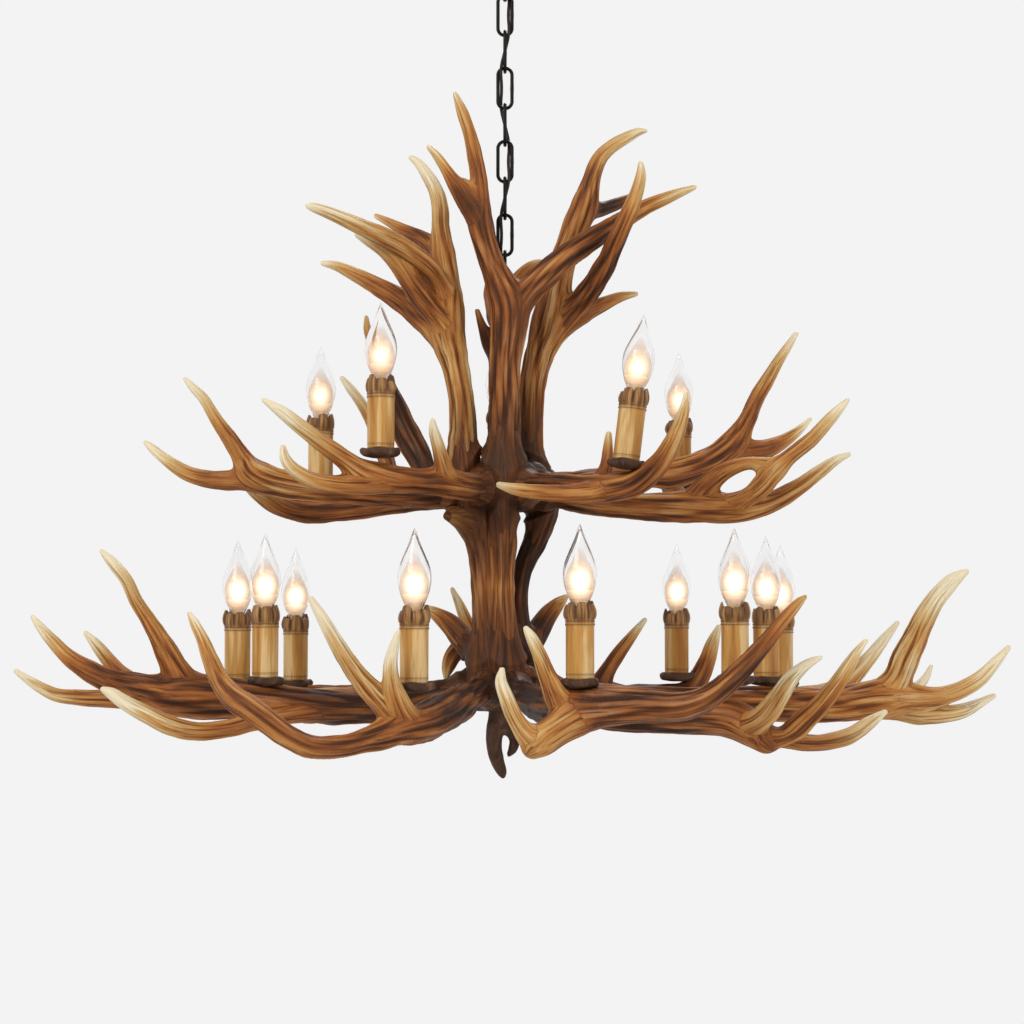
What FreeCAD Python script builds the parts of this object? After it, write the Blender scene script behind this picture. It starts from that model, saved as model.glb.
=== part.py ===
import FreeCAD, Part
import math
import os

from FreeCAD import Vector

# Antler chandelier with two tiers of candle lights on a chain. Millimetres, +Z up.
# The origin is the centre of the canopy on the ceiling plane. The person who looks at it
# stands at -Y. Everything hangs below Z = 0.

# ---------------------------------------------------------------- ceiling fitting
canopy_rim_radius = 62.0
canopy_depth = 32.0
canopy_wall = 1.2
canopy_nose_radius = 19.0
canopy_rim_height = 6.0
canopy_shoulder_inset = 8.0
canopy_shoulder_depth = 14.0
canopy_slope_inset = 26.0
canopy_slope_rise = 5.0
bar_length = 110.0
bar_width = 22.0
bar_thickness = 2.5
bar_boss_radius = 9.0
bar_boss_height = 7.0
bar_hole_spacing = 88.0
bar_hole_radius = 2.3
screw_shank_radius = 2.1
screw_thread_radius = 1.9
screw_head_radius = 4.2
screw_head_height = 2.6
screw_above_ceiling = 18.0
screw_slot_width = 1.0
screw_slot_depth = 1.2
stem_radius = 5.0
stem_bore_radius = 3.2
stem_top_gap = 1.0
collar_radius = 14.0
collar_height = 12.0
loop_neck_radius = 9.0
loop_neck_height = 16.0
loop_ring_radius = 13.0
loop_wire_radius = 2.5
loop_neck_taper = 6.0
hanger_neck_taper = 5.0
neck_sink = 2.0
wire_exit_height = 4.0
thread_clearance = 0.15

# ---------------------------------------------------------------- chain and supply cord
link_count = 8
link_length = 50.4
link_width = 20.0
link_wire_radius = 2.0
link_running_gap = 0.3
cord_radius = 1.8
cord_corner_offset = 5.3
cord_cross_offset = 3.4

# ---------------------------------------------------------------- core of the chandelier
hanger_neck_height = 15.0
rod_radius = 5.0
rod_bore_radius = 3.5
rod_thread_depth = 8.0
upper_hub_middle = -212.0
upper_hub_radius = 48.0
upper_hub_height = 48.0
lower_hub_middle = -440.0
lower_hub_radius = 47.0
lower_hub_height = 38.0
hub_edge_radius = 12.0
hub_bore_clearance = 0.2
nut_flats = 17.0
nut_height = 8.0
finial_radius = 18.0
finial_cap_height = 16.0
finial_taper = 2.0
finial_thread_depth = 10.0

# ---------------------------------------------------------------- candle lights
sleeve_height = 80.0
sleeve_radius = 14.5
sleeve_bore_radius = 12.2
drip_height = 20.0
drip_radius = 16.2
drip_collar_inset = 0.6
drip_collar_height = 4.0
drip_groove_inset = 1.2
drip_groove_height = 2.0
drip_edge = 1.0
drip_edge_height = 3.0
pan_radius = 19.0
pan_height = 8.0
pan_lip = 1.6
pan_foot_inset = 4.0
pan_seat_clearance = 0.6
pan_seat_slope = 0.9
pan_stem_radius = 8.0
socket_radius = 11.9
socket_height = 70.0
socket_bore_radius = 7.2
socket_bore_depth = 28.0
bulb_cap_radius = 6.7
bulb_cap_height = 28.0
bulb_cap_taper = 3.0
bulb_contact_radius = 2.5
bulb_glass_radius = 17.5
bulb_glass_height = 88.0
bulb_glass_wall = 0.8
bulb_seat_gap = 0.3
filament_ring_radius = 4.0
filament_wire_radius = 0.5
filament_height_share = 0.40
filament_post_radius = 1.4
filament_carrier_width = 0.8

# Outline of the glass: share of its height, share of its widest radius.
bulb_outline = [
    (0.0, 0.38), (0.06, 0.46), (0.11, 0.58), (0.20, 0.78), (0.30, 0.93), (0.42, 1.0),
    (0.54, 0.92), (0.65, 0.72), (0.76, 0.48), (0.86, 0.27), (0.95, 0.11),
]

# Each light: X, Y and Z of the bottom of its candle sleeve, measured from the centre of the
# hanger ring, and how far it leans towards +X in degrees. Ten lower ones, then five upper ones.
lights = [
    (-303, 15, -431, 0, 14),
    (-262, -78, -427, 0, 14),
    (-250, 150, -436, 0, 16),
    (-91, -262, -428, 0, 26),
    (77, -262, -424, 0, 16),
    (209, 214, -429, 0, 18),
    (243, -165, -424, 0, 34),
    (293, -12, -428, 0, 20),
    (323, 105, -434, 0, 16),
    (-3, 285, -433, 0, 16),
    (-216, 88, -202, 0, 12),
    (-132, -150, -182, 0, 20),
    (130, -148, -194, 7, 16),
    (208, 152, -201, 0, 14),
    (-7, 195, -186, 0, 14),
]

# ---------------------------------------------------------------- antlers
# Every antler is a few tapering lines: the beam first, then its tines. A point is X, Y, Z and
# the radius there, measured from the centre of the hanger ring.
antler_lines = {}
antler_lines["lower_antler_front_left"] = [
    [(-14, -30, -439, 14), (-33, -80, -445, 15.5), (-55, -160, -456, 19), (-81, -235, -468, 19.5),
     (-107, -275, -474, 16), (-135, -300, -482, 12.5), (-162, -315, -488, 11), (-189, -325, -488, 11),
     (-210, -330, -479, 11.5), (-230, -330, -465, 12), (-250, -325, -451, 12.5),
     (-269, -315, -439, 12), (-282, -305, -423, 10), (-293, -295, -403, 8.5), (-302, -285, -384, 6.5),
     (-312, -275, -367, 5), (-318, -270, -357, 2.5)],
    [(-93, -260, -467, 14), (-104, -285, -448, 11), (-111, -295, -427, 8.5), (-113, -300, -407, 7),
     (-109, -305, -389, 5), (-105, -308, -375, 2.5)],
    [(-112, -280, -460, 13), (-134, -290, -435, 11), (-152, -295, -411, 9.5), (-166, -300, -388, 8),
     (-181, -305, -361, 6), (-192, -310, -342, 3)],
]
antler_lines["lower_antler_front_right"] = [
    [(6, -32, -439, 14), (20, -85, -445, 15), (39, -160, -452, 18), (59, -225, -454, 19.5),
     (87, -265, -452, 20), (116, -280, -451, 17), (146, -285, -450, 15), (176, -285, -451, 14),
     (202, -280, -443, 12.5), (226, -275, -426, 11), (246, -270, -406, 10), (265, -262, -386, 8.5),
     (284, -255, -364, 7), (299, -250, -347, 5), (307, -247, -340, 2.5)],
    [(87, -262, -456, 18), (61, -270, -469, 17), (41, -278, -482, 15), (29, -283, -492, 10)],
    [(39, -280, -486, 12), (22, -286, -477, 10), (10, -290, -459, 8.5), (2, -292, -440, 7.5),
     (-3, -293, -425, 6), (-2, -294, -413, 3)],
    [(69, -250, -457, 14), (55, -262, -442, 12.5), (44, -268, -420, 9.5), (36, -273, -399, 7.5),
     (28, -277, -382, 6), (22, -280, -372, 3)],
]
antler_lines["lower_antler_left"] = [
    [(-34, -4, -440, 14.5), (-73, -14, -448, 16), (-122, -40, -459, 16.5), (-176, -55, -460, 16.5),
     (-225, -65, -456, 17.5), (-267, -75, -451, 19.5), (-311, -80, -448, 23), (-343, -85, -446, 24),
     (-369, -88, -445, 20.5), (-396, -90, -439, 16.5), (-423, -92, -432, 13.5),
     (-448, -94, -420, 11.5), (-472, -95, -405, 9), (-491, -96, -386, 7), (-504, -97, -371, 5),
     (-512, -98, -360, 2.5)],
    [(-343, -85, -442, 22), (-360, -90, -412, 15), (-374, -94, -385, 10.5), (-387, -98, -363, 8.5),
     (-400, -101, -342, 7.5), (-410, -104, -320, 7), (-425, -107, -301, 6), (-436, -109, -289, 2.5)],
    [(-393, -78, -437, 11), (-420, -66, -423, 9.5), (-436, -62, -407, 8), (-449, -58, -392, 6.5),
     (-462, -55, -378, 3)],
    [(-187, -52, -459, 14.5), (-247, -10, -453, 14.5), (-300, 15, -452, 14.5), (-358, 25, -453, 13.5),
     (-410, 30, -454, 12), (-451, 35, -453, 10.5), (-485, 38, -452, 9), (-512, 40, -449, 8),
     (-534, 42, -439, 6.5), (-550, 43, -429, 4.5), (-560, 44, -422, 3)],
    [(-192, -62, -464, 10), (-233, -90, -468, 10), (-269, -110, -473, 9.5), (-299, -125, -480, 9.5),
     (-330, -135, -482, 10), (-358, -140, -475, 10.5), (-382, -142, -463, 9.5), (-404, -143, -451, 8),
     (-417, -144, -442, 6.5), (-427, -145, -437, 3)],
]
antler_lines["lower_antler_back_left"] = [
    [(-25, 25, -441, 14), (-75, 72, -449, 15.5), (-129, 95, -454, 16.5), (-183, 125, -458, 16.5),
     (-238, 150, -459, 18), (-289, 180, -462, 17), (-330, 215, -468, 14.5), (-372, 260, -470, 12.5),
     (-409, 300, -464, 10), (-439, 335, -455, 7), (-459, 360, -448, 3)],
    [(-257, 160, -460, 13), (-252, 230, -476, 11), (-239, 300, -484, 9.5), (-219, 360, -481, 7),
     (-202, 400, -472, 3)],
    [(-246, 165, -456, 12), (-253, 215, -427, 9), (-260, 240, -398, 7.5), (-264, 255, -373, 3)],
    [(-171, 115, -456, 10.5), (-199, 95, -451, 9), (-222, 80, -449, 6)],
]
antler_lines["lower_antler_back"] = [
    [(-2, 35, -441, 14.5), (-4, 120, -447, 16), (-9, 200, -453, 17), (-3, 280, -458, 17.5),
     (8, 350, -463, 15.5), (18, 410, -462, 12.5), (24, 460, -456, 8.5), (25, 490, -448, 3.5)],
    [(-6, 175, -450, 12), (-19, 195, -424, 11), (-33, 205, -394, 9.5), (-47, 212, -366, 8),
     (-56, 217, -345, 6), (-65, 222, -326, 3)],
    [(-7, 250, -457, 12.5), (-32, 310, -464, 11.5), (-65, 370, -469, 9.5), (-93, 420, -468, 7),
     (-111, 450, -462, 3.5)],
]
antler_lines["lower_antler_back_right"] = [
    [(26, 24, -441, 14), (66, 74, -447, 15.5), (112, 140, -454, 16.5), (162, 185, -459, 17),
     (207, 215, -461, 18.5), (246, 250, -465, 15.5), (281, 290, -466, 12.5), (312, 330, -462, 9.5),
     (337, 365, -455, 6.5), (352, 385, -449, 3)],
    [(216, 222, -461, 14.5), (232, 232, -443, 13), (246, 242, -419, 11), (255, 250, -394, 8.5),
     (264, 256, -372, 3.5)],
    [(107, 132, -451, 12), (117, 138, -430, 10), (134, 146, -405, 8.5), (150, 152, -384, 6.5),
     (167, 158, -363, 3)],
    [(163, 195, -463, 13.5), (167, 270, -475, 12), (184, 340, -483, 10), (207, 400, -480, 7),
     (222, 430, -472, 3.5)],
]
antler_lines["lower_antler_right"] = [
    [(34, 2, -440, 14.5), (84, -6, -449, 16.5), (151, -20, -455, 17), (218, -25, -457, 18),
     (273, -25, -457, 19), (329, -25, -458, 19), (373, -30, -457, 19), (411, -35, -452, 20),
     (444, -38, -450, 14.5), (477, -40, -449, 11), (504, -42, -441, 9.5), (526, -44, -428, 8.5),
     (544, -46, -409, 6), (557, -48, -394, 3)],
    [(417, -35, -449, 20), (435, -40, -428, 17), (444, -45, -405, 15), (453, -48, -386, 13.5),
     (463, -52, -363, 12), (476, -55, -341, 11), (491, -58, -323, 9), (502, -60, -314, 6),
     (509, -61, -310, 3)],
    [(423, -30, -461, 14.5), (457, -28, -468, 11), (485, -26, -469, 9.5), (510, -24, -465, 8.5),
     (530, -22, -456, 5.5), (546, -20, -448, 3)],
    [(183, -16, -460, 12.5), (209, 14, -462, 14), (237, 44, -462, 15), (282, 82, -460, 15),
     (328, 105, -459, 16.5), (365, 118, -455, 14), (393, 125, -445, 12), (414, 132, -428, 10),
     (433, 138, -407, 8.5), (450, 143, -387, 6.5), (467, 147, -367, 3)],
    [(361, 118, -457, 12), (409, 140, -462, 10.5), (454, 160, -459, 9.5), (486, 172, -450, 8),
     (504, 180, -436, 5.5), (514, 186, -419, 2.5)],
]
antler_lines["lower_antler_right_front"] = [
    [(25, -22, -439, 13.5), (61, -62, -453, 15.5), (114, -110, -465, 16), (160, -140, -466, 17),
     (207, -160, -465, 19), (242, -172, -468, 20), (265, -182, -482, 14.5), (273, -188, -492, 9.5)],
    [(251, -185, -474, 13.5), (269, -205, -463, 12.5), (283, -212, -444, 10.5), (295, -218, -425, 8.5),
     (308, -222, -412, 6), (319, -225, -405, 4), (326, -227, -402, 2)],
    [(269, -185, -487, 11.5), (293, -190, -484, 11.5), (313, -192, -468, 11.5), (332, -194, -449, 10),
     (346, -196, -431, 9), (358, -198, -412, 7.5), (367, -199, -397, 5), (376, -200, -385, 2.5)],
    [(258, -170, -481, 9.5), (297, -150, -491, 9), (336, -135, -494, 9), (369, -120, -488, 9),
     (392, -108, -475, 7.5), (412, -98, -463, 3)],
]
antler_lines["upper_antler_left"] = [
    [(-36, -10, -215, 14.5), (-73, -28, -222, 15.5), (-116, -48, -224, 14), (-171, -60, -221, 14),
     (-220, -68, -217, 15), (-258, -72, -210, 15.5), (-278, -75, -201, 14.5), (-287, -77, -188, 11),
     (-301, -82, -166, 9), (-315, -88, -145, 7), (-328, -93, -123, 6), (-339, -97, -111, 5),
     (-348, -100, -101, 2.5)],
    [(-267, -73, -210, 12), (-291, -70, -210, 11), (-319, -66, -209, 10), (-342, -62, -205, 9),
     (-361, -59, -196, 8), (-379, -56, -183, 6), (-390, -54, -174, 5), (-398, -52, -167, 3)],
    [(-64, -26, -226, 10), (-82, -12, -230, 10.5), (-113, 0, -232, 10), (-159, 6, -237, 11),
     (-198, 8, -241, 11.5), (-230, 5, -242, 11), (-254, -5, -236, 10.5), (-271, -22, -225, 9.5),
     (-281, -42, -216, 8), (-283, -58, -209, 5.5)],
]
antler_lines["upper_antler_front_left"] = [
    [(-14, -22, -217, 13.5), (-26, -50, -216, 14.5), (-44, -86, -217, 15), (-70, -115, -214, 14),
     (-96, -135, -214, 12.5), (-127, -150, -211, 13), (-153, -162, -203, 11), (-172, -172, -191, 10),
     (-194, -185, -176, 9), (-214, -197, -161, 8), (-233, -206, -146, 6.5), (-250, -213, -135, 2.5)],
    [(-112, -145, -217, 9.5), (-143, -160, -221, 9.5), (-174, -170, -221, 9), (-200, -178, -217, 8.5),
     (-218, -185, -208, 7.5), (-229, -190, -196, 6), (-232, -193, -183, 3)],
    [(-59, -112, -212, 9.5), (-66, -135, -194, 8.5), (-71, -150, -177, 7), (-75, -160, -163, 5.5),
     (-76, -168, -152, 2.5)],
]
antler_lines["upper_antler_back_left"] = [
    [(-24, 24, -213, 14.5), (-64, 54, -211, 15), (-104, 62, -213, 14), (-151, 75, -216, 13),
     (-193, 87, -220, 13), (-235, 100, -220, 13), (-267, 125, -213, 11.5), (-292, 155, -202, 9.5),
     (-309, 185, -189, 6.5), (-320, 205, -178, 3)],
    [(-87, 55, -202, 16), (-101, 68, -173, 16.5), (-117, 80, -142, 14.5), (-128, 92, -115, 12.5),
     (-138, 102, -91, 10), (-148, 114, -62, 8.5), (-157, 124, -37, 6.5), (-164, 132, -18, 5),
     (-166, 138, -2, 2.5)],
    [(-128, 68, -210, 10.5), (-139, 95, -176, 10), (-156, 124, -132, 8.5), (-172, 140, -105, 6.5),
     (-186, 150, -86, 5.5), (-196, 156, -73, 3)],
    [(-205, 92, -220, 9.5), (-204, 150, -220, 9.5), (-196, 210, -215, 8.5), (-191, 260, -204, 6),
     (-188, 290, -196, 3)],
]
antler_lines["upper_antler_front_right"] = [
    [(15, -27, -216, 14), (41, -72, -216, 13.5), (76, -105, -219, 12.5), (108, -130, -222, 13),
     (138, -151, -218, 13.5), (160, -170, -202, 11.5), (177, -184, -176, 9.5), (187, -193, -149, 6.5),
     (190, -199, -127, 2.5)],
    [(115, -138, -222, 9.5), (91, -138, -228, 10), (62, -132, -228, 9.5), (36, -122, -226, 8.5),
     (11, -112, -222, 6.5), (-6, -105, -217, 3.5)],
    [(103, -120, -217, 8.5), (110, -112, -197, 7), (112, -108, -177, 5.5), (113, -106, -162, 3.5)],
]
antler_lines["upper_antler_right"] = [
    [(33, -4, -215, 14.5), (64, -14, -224, 14), (106, -40, -233, 14), (150, -48, -237, 14.5),
     (194, -54, -239, 16), (232, -58, -241, 15), (265, -58, -240, 14), (296, -55, -232, 11.5),
     (324, -50, -217, 9.5), (348, -45, -200, 8), (368, -41, -186, 5.5), (383, -38, -179, 3)],
    [(240, -60, -237, 10), (264, -75, -229, 10), (282, -82, -216, 11), (292, -86, -204, 10.5),
     (309, -92, -187, 8.5), (334, -98, -167, 8), (352, -103, -147, 7), (364, -107, -134, 5),
     (372, -110, -125, 2.5)],
    [(205, -55, -233, 14.5), (224, -60, -213, 12), (246, -66, -198, 9), (268, -72, -191, 7),
     (286, -80, -194, 7.5), (299, -88, -198, 5.5)],
]
antler_lines["upper_antler_back_right"] = [
    [(27, 22, -213, 14.5), (69, 50, -208, 14), (116, 68, -201, 13.5), (163, 80, -196, 13.5),
     (205, 92, -189, 16), (241, 102, -176, 15.5), (268, 112, -155, 14), (286, 120, -127, 10.5),
     (298, 128, -102, 9), (312, 133, -78, 8.5), (327, 138, -53, 6.5), (339, 142, -35, 5),
     (348, 145, -21, 3)],
    [(268, 116, -165, 14), (302, 125, -162, 12), (327, 132, -153, 9), (347, 138, -140, 6),
     (364, 143, -124, 2.5)],
    [(191, 90, -200, 14), (200, 122, -214, 13), (215, 165, -221, 11.5), (235, 220, -214, 10),
     (252, 268, -199, 7.5), (263, 300, -185, 3)],
]
antler_lines["upper_antler_back"] = [
    [(-2, 38, -212, 14.5), (-3, 110, -209, 15.5), (-7, 190, -210, 16), (-1, 260, -204, 14.5),
     (12, 320, -193, 11.5), (25, 370, -178, 8), (31, 400, -165, 3.5)],
    [(-6, 170, -209, 11), (-38, 235, -207, 10.5), (-70, 285, -199, 9), (-96, 325, -187, 6.5),
     (-113, 350, -176, 3)],
]
antler_lines["crown_antler_left"] = [
    [(-46, -15, -208, 18), (-48, -15, -178, 17.5), (-47, -14, -150, 15), (-48, -13, -121, 14),
     (-52, -12, -93, 14), (-57, -12, -68, 15), (-63, -12, -42, 17), (-63, -12, -14, 16),
     (-63, -10, 15, 12), (-68, -6, 50, 11.5), (-73, 0, 82, 10), (-74, 6, 106, 9.5),
     (-79, 12, 127, 8.5), (-91, 18, 149, 7), (-101, 22, 162, 5), (-108, 24, 167, 3)],
    [(-71, -2, 49, 10), (-92, 20, 71, 9), (-115, 38, 85, 7.5), (-136, 52, 98, 5), (-150, 60, 106, 3)],
    [(-64, -15, -5, 12.5), (-74, -30, 18, 10.5), (-89, -48, 35, 10), (-114, -70, 50, 10.5),
     (-139, -92, 59, 10), (-166, -112, 68, 8.5), (-189, -128, 76, 7), (-204, -138, 80, 5.5),
     (-212, -143, 81, 2.5)],
    [(-66, -20, -35, 14.5), (-89, -35, -8, 13), (-106, -48, 13, 11), (-119, -58, 31, 9.5),
     (-134, -66, 46, 8), (-151, -72, 55, 5.5), (-163, -76, 61, 3)],
    [(-63, -10, -57, 16), (-91, 0, -26, 14), (-117, 12, -1, 12.5), (-146, 25, 19, 10.5),
     (-173, 36, 34, 8), (-194, 45, 45, 6), (-211, 50, 49, 3)],
    [(-66, 2, -18, 11.5), (-86, 30, 15, 10.5), (-101, 50, 39, 9.5), (-113, 65, 59, 6),
     (-120, 72, 70, 3)],
]
antler_lines["crown_antler_front"] = [
    [(-1, -32, -210, 19), (-1, -33, -179, 18.5), (-1, -34, -151, 17.5), (0, -35, -124, 17),
     (0, -35, -95, 17), (1, -35, -67, 17), (4, -36, -39, 19), (4, -37, -13, 20), (-4, -38, 10, 17),
     (-13, -38, 32, 14), (-21, -38, 56, 12.5), (-27, -38, 78, 12.5), (-28, -36, 107, 9.5),
     (-29, -33, 132, 9), (-34, -30, 159, 8.5), (-40, -27, 185, 7.5), (-48, -24, 209, 6.5),
     (-56, -22, 230, 3)],
    [(-26, -40, 75, 10.5), (-39, -46, 94, 9.5), (-52, -52, 115, 8.5), (-64, -57, 135, 6.5),
     (-75, -61, 151, 5), (-84, -64, 161, 3)],
    [(-30, -38, 102, 6.5), (-40, -43, 118, 5), (-46, -46, 124, 3.5)],
    [(6, -38, -31, 17), (21, -38, -4, 16), (43, -36, 20, 14.5), (67, -32, 42, 13.5),
     (91, -20, 61, 12.5), (113, -8, 77, 11.5), (137, 2, 93, 10.5), (160, 8, 107, 9),
     (182, 12, 117, 7.5), (200, 16, 125, 5.5), (217, 20, 132, 3)],
]
antler_lines["crown_antler_right"] = [
    [(29, 25, -204, 16), (29, 26, -175, 15), (30, 27, -146, 13.5), (31, 28, -118, 13.5),
     (33, 29, -89, 14.5), (39, 30, -60, 16), (48, 31, -33, 19.5), (55, 32, -5, 19.5), (61, 33, 24, 16),
     (68, 34, 50, 14.5), (76, 35, 74, 14.5), (85, 35, 97, 14.5), (93, 35, 120, 13.5),
     (99, 35, 143, 10.5), (108, 36, 167, 9), (122, 38, 182, 8), (139, 41, 193, 7), (154, 44, 201, 5),
     (163, 46, 203, 2.5)],
    [(91, 38, 104, 10.5), (112, 55, 113, 8.5), (132, 72, 123, 7), (149, 86, 133, 4.5),
     (160, 95, 139, 2.5)],
    [(61, 30, -25, 18.5), (83, 18, -4, 15), (99, 0, 14, 12.5), (113, -20, 37, 11.5),
     (124, -38, 60, 10.5), (136, -50, 85, 9.5), (146, -57, 109, 8), (151, -61, 129, 6),
     (151, -63, 143, 3)],
    [(67, 32, -25, 16), (92, 36, -10, 11.5), (113, 40, 0, 8.5), (133, 44, 9, 6), (151, 47, 13, 3)],
]
antler_lines["crown_antler_back"] = [
    [(-4, 48, -205, 15), (-4, 52, -167, 14.5), (-4, 55, -132, 14), (-4, 58, -97, 14),
     (-4, 62, -62, 14.5), (-1, 66, -27, 15), (5, 72, 3, 14), (14, 80, 28, 11.5), (26, 90, 45, 9.5),
     (37, 100, 55, 6.5), (49, 108, 60, 3)],
    [(-9, 62, -53, 9.5), (-20, 58, -42, 6.5), (-26, 52, -26, 5), (-32, 46, -7, 3)],
    [(-2, 68, -36, 13), (-12, 105, 0, 11), (-16, 135, 30, 9.5), (-12, 160, 56, 7), (-8, 175, 70, 3)],
]
antler_lines["trunk_antler_front"] = [
    [(-30, -18, -229, 19), (-29, -20, -251, 18), (-27, -22, -280, 15.5), (-24, -23, -308, 14),
     (-23, -23, -341, 13.5), (-22, -22, -369, 14.5), (-20, -20, -397, 17), (-17, -18, -422, 17)],
    [(-2, -35, -230, 18), (-1, -36, -258, 15.5), (-1, -37, -286, 13.5), (-1, -37, -313, 11.5),
     (-1, -36, -341, 11.5), (0, -34, -369, 13.5), (2, -30, -397, 15.5), (2, -28, -421, 15.5)],
    [(-29, -19, -260, 14.5), (-46, -32, -252, 11), (-63, -44, -248, 5.5)],
    [(-26, -8, -404, 14), (-45, 8, -388, 13.5), (-61, 20, -370, 12), (-76, 30, -358, 8.5),
     (-92, 40, -349, 3.5)],
]
antler_lines["trunk_antler_right"] = [
    [(31, 22, -218, 15), (43, 22, -236, 15), (41, 20, -254, 15), (33, 18, -275, 13),
     (24, 15, -295, 11.5), (18, 12, -318, 10), (16, 10, -346, 10), (17, 8, -375, 12.5),
     (18, 13, -397, 13.5), (17, 14, -422, 13.5)],
    [(18, 12, -403, 14.5), (34, 32, -382, 13.5), (47, 42, -361, 11.5), (59, 50, -347, 8.5),
     (70, 56, -337, 3.5)],
]
antler_lines["trunk_antler_back"] = [
    [(-17, 25, -227, 16), (-15, 28, -261, 14.5), (-13, 30, -301, 12.5), (-10, 30, -341, 12.5),
     (-9, 28, -381, 14), (-8, 25, -423, 15)],
    [(-24, 34, -398, 12.5), (-45, 50, -392, 11), (-59, 58, -403, 10), (-65, 58, -416, 8),
     (-68, 56, -428, 3.5)],
]

# The burr below the lower hub: two blunt prongs of a cut antler base.
finial_lines = [
    [(-4, 0, -473, 15), (-11, -4, -487, 10), (-12, -6, -505, 8.5), (-9, -7, -520, 7.5),
     (-4, -8, -532, 6), (-2, -8, -538, 3)],
    [(2, 0, -474, 13), (8, -2, -487, 8), (11, -3, -498, 6), (9, -4, -508, 5), (5, -4, -514, 2.5)],
]

# ---------------------------------------------------------------- worked out from the above
stem_top = -stem_top_gap
collar_top = -canopy_depth
loop_neck_top = collar_top - collar_height
ring_centre = loop_neck_top - loop_neck_height - loop_ring_radius + loop_wire_radius
ring_bar = ring_centre - loop_ring_radius
link_half = link_length / 2 - link_wire_radius
link_pitch = 2 * link_half - 2 * link_wire_radius - link_running_gap
first_link = ring_bar + loop_wire_radius + link_wire_radius + link_running_gap - link_half
last_link = first_link - (link_count - 1) * link_pitch
hanger_bar = last_link - link_half + link_wire_radius + loop_wire_radius + link_running_gap
hanger_centre = hanger_bar - loop_ring_radius
hanger_neck_top = -loop_ring_radius + loop_wire_radius
rod_top = hanger_neck_top - hanger_neck_height + rod_thread_depth
lower_hub_bottom = lower_hub_middle - lower_hub_height / 2
finial_top = lower_hub_bottom - nut_height
rod_bottom = finial_top - finial_thread_depth

os.makedirs("parts", exist_ok=True)


def save(shape, node):
    shape.exportStep("parts/" + node + ".step")
    print(node, len(shape.Solids), "solids", round(shape.Volume), "mm3", shape.isValid())


def turned(profile):
    """A solid turned about Z from (radius, z) corners."""
    points = [Vector(radius, 0, z) for radius, z in profile]
    face = Part.Face(Part.makePolygon(points + points[:1]))
    return face.revolve(Vector(0, 0, 0), Vector(0, 0, 1), 360)


def tube(outer, inner, bottom, top):
    body = Part.makeCylinder(outer, top - bottom, Vector(0, 0, bottom))
    return body.cut(Part.makeCylinder(inner, top - bottom, Vector(0, 0, bottom)))


def ring(radius, wire_radius, middle, facing):
    """A torus whose axis points along facing."""
    return Part.makeTorus(radius, wire_radius, Vector(0, 0, middle), facing)


def moved(shape, x, y, z, lean=0.0):
    """A copy leaned towards +X about the origin and then moved."""
    copy = shape.copy()
    copy.rotate(Vector(0, 0, 0), Vector(0, 1, 0), lean)
    copy.translate(Vector(x, y, z))
    return copy


def hung(shape):
    """Moves a shape that is given from the hanger ring to its place below the ceiling."""
    return moved(shape, 0, 0, hanger_centre)


def line_solid(line):
    """One tapering tine: a smooth loft through circles square to the line."""
    places = [Vector(x, y, z) for x, y, z, radius in line]
    circles = []
    last = len(line) - 1
    for index, place in enumerate(places):
        ahead = places[min(index + 1, last)]
        behind = places[max(index - 1, 0)]
        circle = Part.Circle(place, ahead - behind, line[index][3])
        circles.append(Part.Wire(circle.toShape()))
    return Part.makeLoft(circles, True, False)


def near(one, other):
    return one.BoundBox.intersect(other.BoundBox)


def link(middle, turned_quarter):
    """An oval link: two half rings and two straight sides."""
    half_ring = link_width / 2 - link_wire_radius
    straight = link_half - half_ring
    circle = Part.Circle(Vector(half_ring, 0, 0), Vector(0, 0, 1), link_wire_radius)
    section = Part.Face(Part.Wire(circle.toShape()))
    side = section.extrude(Vector(0, 0, 2 * straight))
    side.translate(Vector(0, 0, -straight))
    section.translate(Vector(0, 0, straight))
    bend = section.revolve(Vector(0, 0, straight), Vector(0, -1, 0), 180)
    half = side.fuse(bend)
    other = half.copy()
    other.rotate(Vector(0, 0, 0), Vector(0, 1, 0), 180)
    whole = half.fuse(other)
    if turned_quarter:
        whole.rotate(Vector(0, 0, 0), Vector(0, 0, 1), 90)
    whole.translate(Vector(0, 0, middle))
    return whole


# ---------------------------------------------------------------- ceiling fitting
def make_canopy():
    rim = canopy_rim_radius
    wall = canopy_wall
    outer = [(rim, 0), (rim, -canopy_rim_height),
             (rim - canopy_shoulder_inset, -canopy_shoulder_depth),
             (rim - canopy_slope_inset, canopy_slope_rise - canopy_depth),
             (canopy_nose_radius, -canopy_depth)]
    inner = [(radius - wall, z + wall) for radius, z in reversed(outer[1:])]
    bore = stem_radius + thread_clearance
    profile = outer + [(bore, -canopy_depth), (bore, -canopy_depth + wall)]
    profile += inner + [(rim - wall, 0)]
    return turned(profile)


def make_mounting_bar():
    bar = Part.makeBox(bar_length, bar_width, bar_thickness,
                       Vector(-bar_length / 2, -bar_width / 2, -bar_thickness))
    boss = Part.makeCylinder(bar_boss_radius, bar_boss_height + bar_thickness,
                             Vector(0, 0, -bar_thickness - bar_boss_height))
    bar = bar.fuse(boss)
    through = 2 * (bar_boss_height + bar_thickness)
    bar = bar.cut(Part.makeCylinder(stem_radius + thread_clearance, 2 * through,
                                    Vector(0, 0, -through)))
    for side in (-1, 1):
        place = Vector(side * bar_hole_spacing / 2, 0, -through)
        bar = bar.cut(Part.makeCylinder(bar_hole_radius, 2 * through, place))
    return bar


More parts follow.
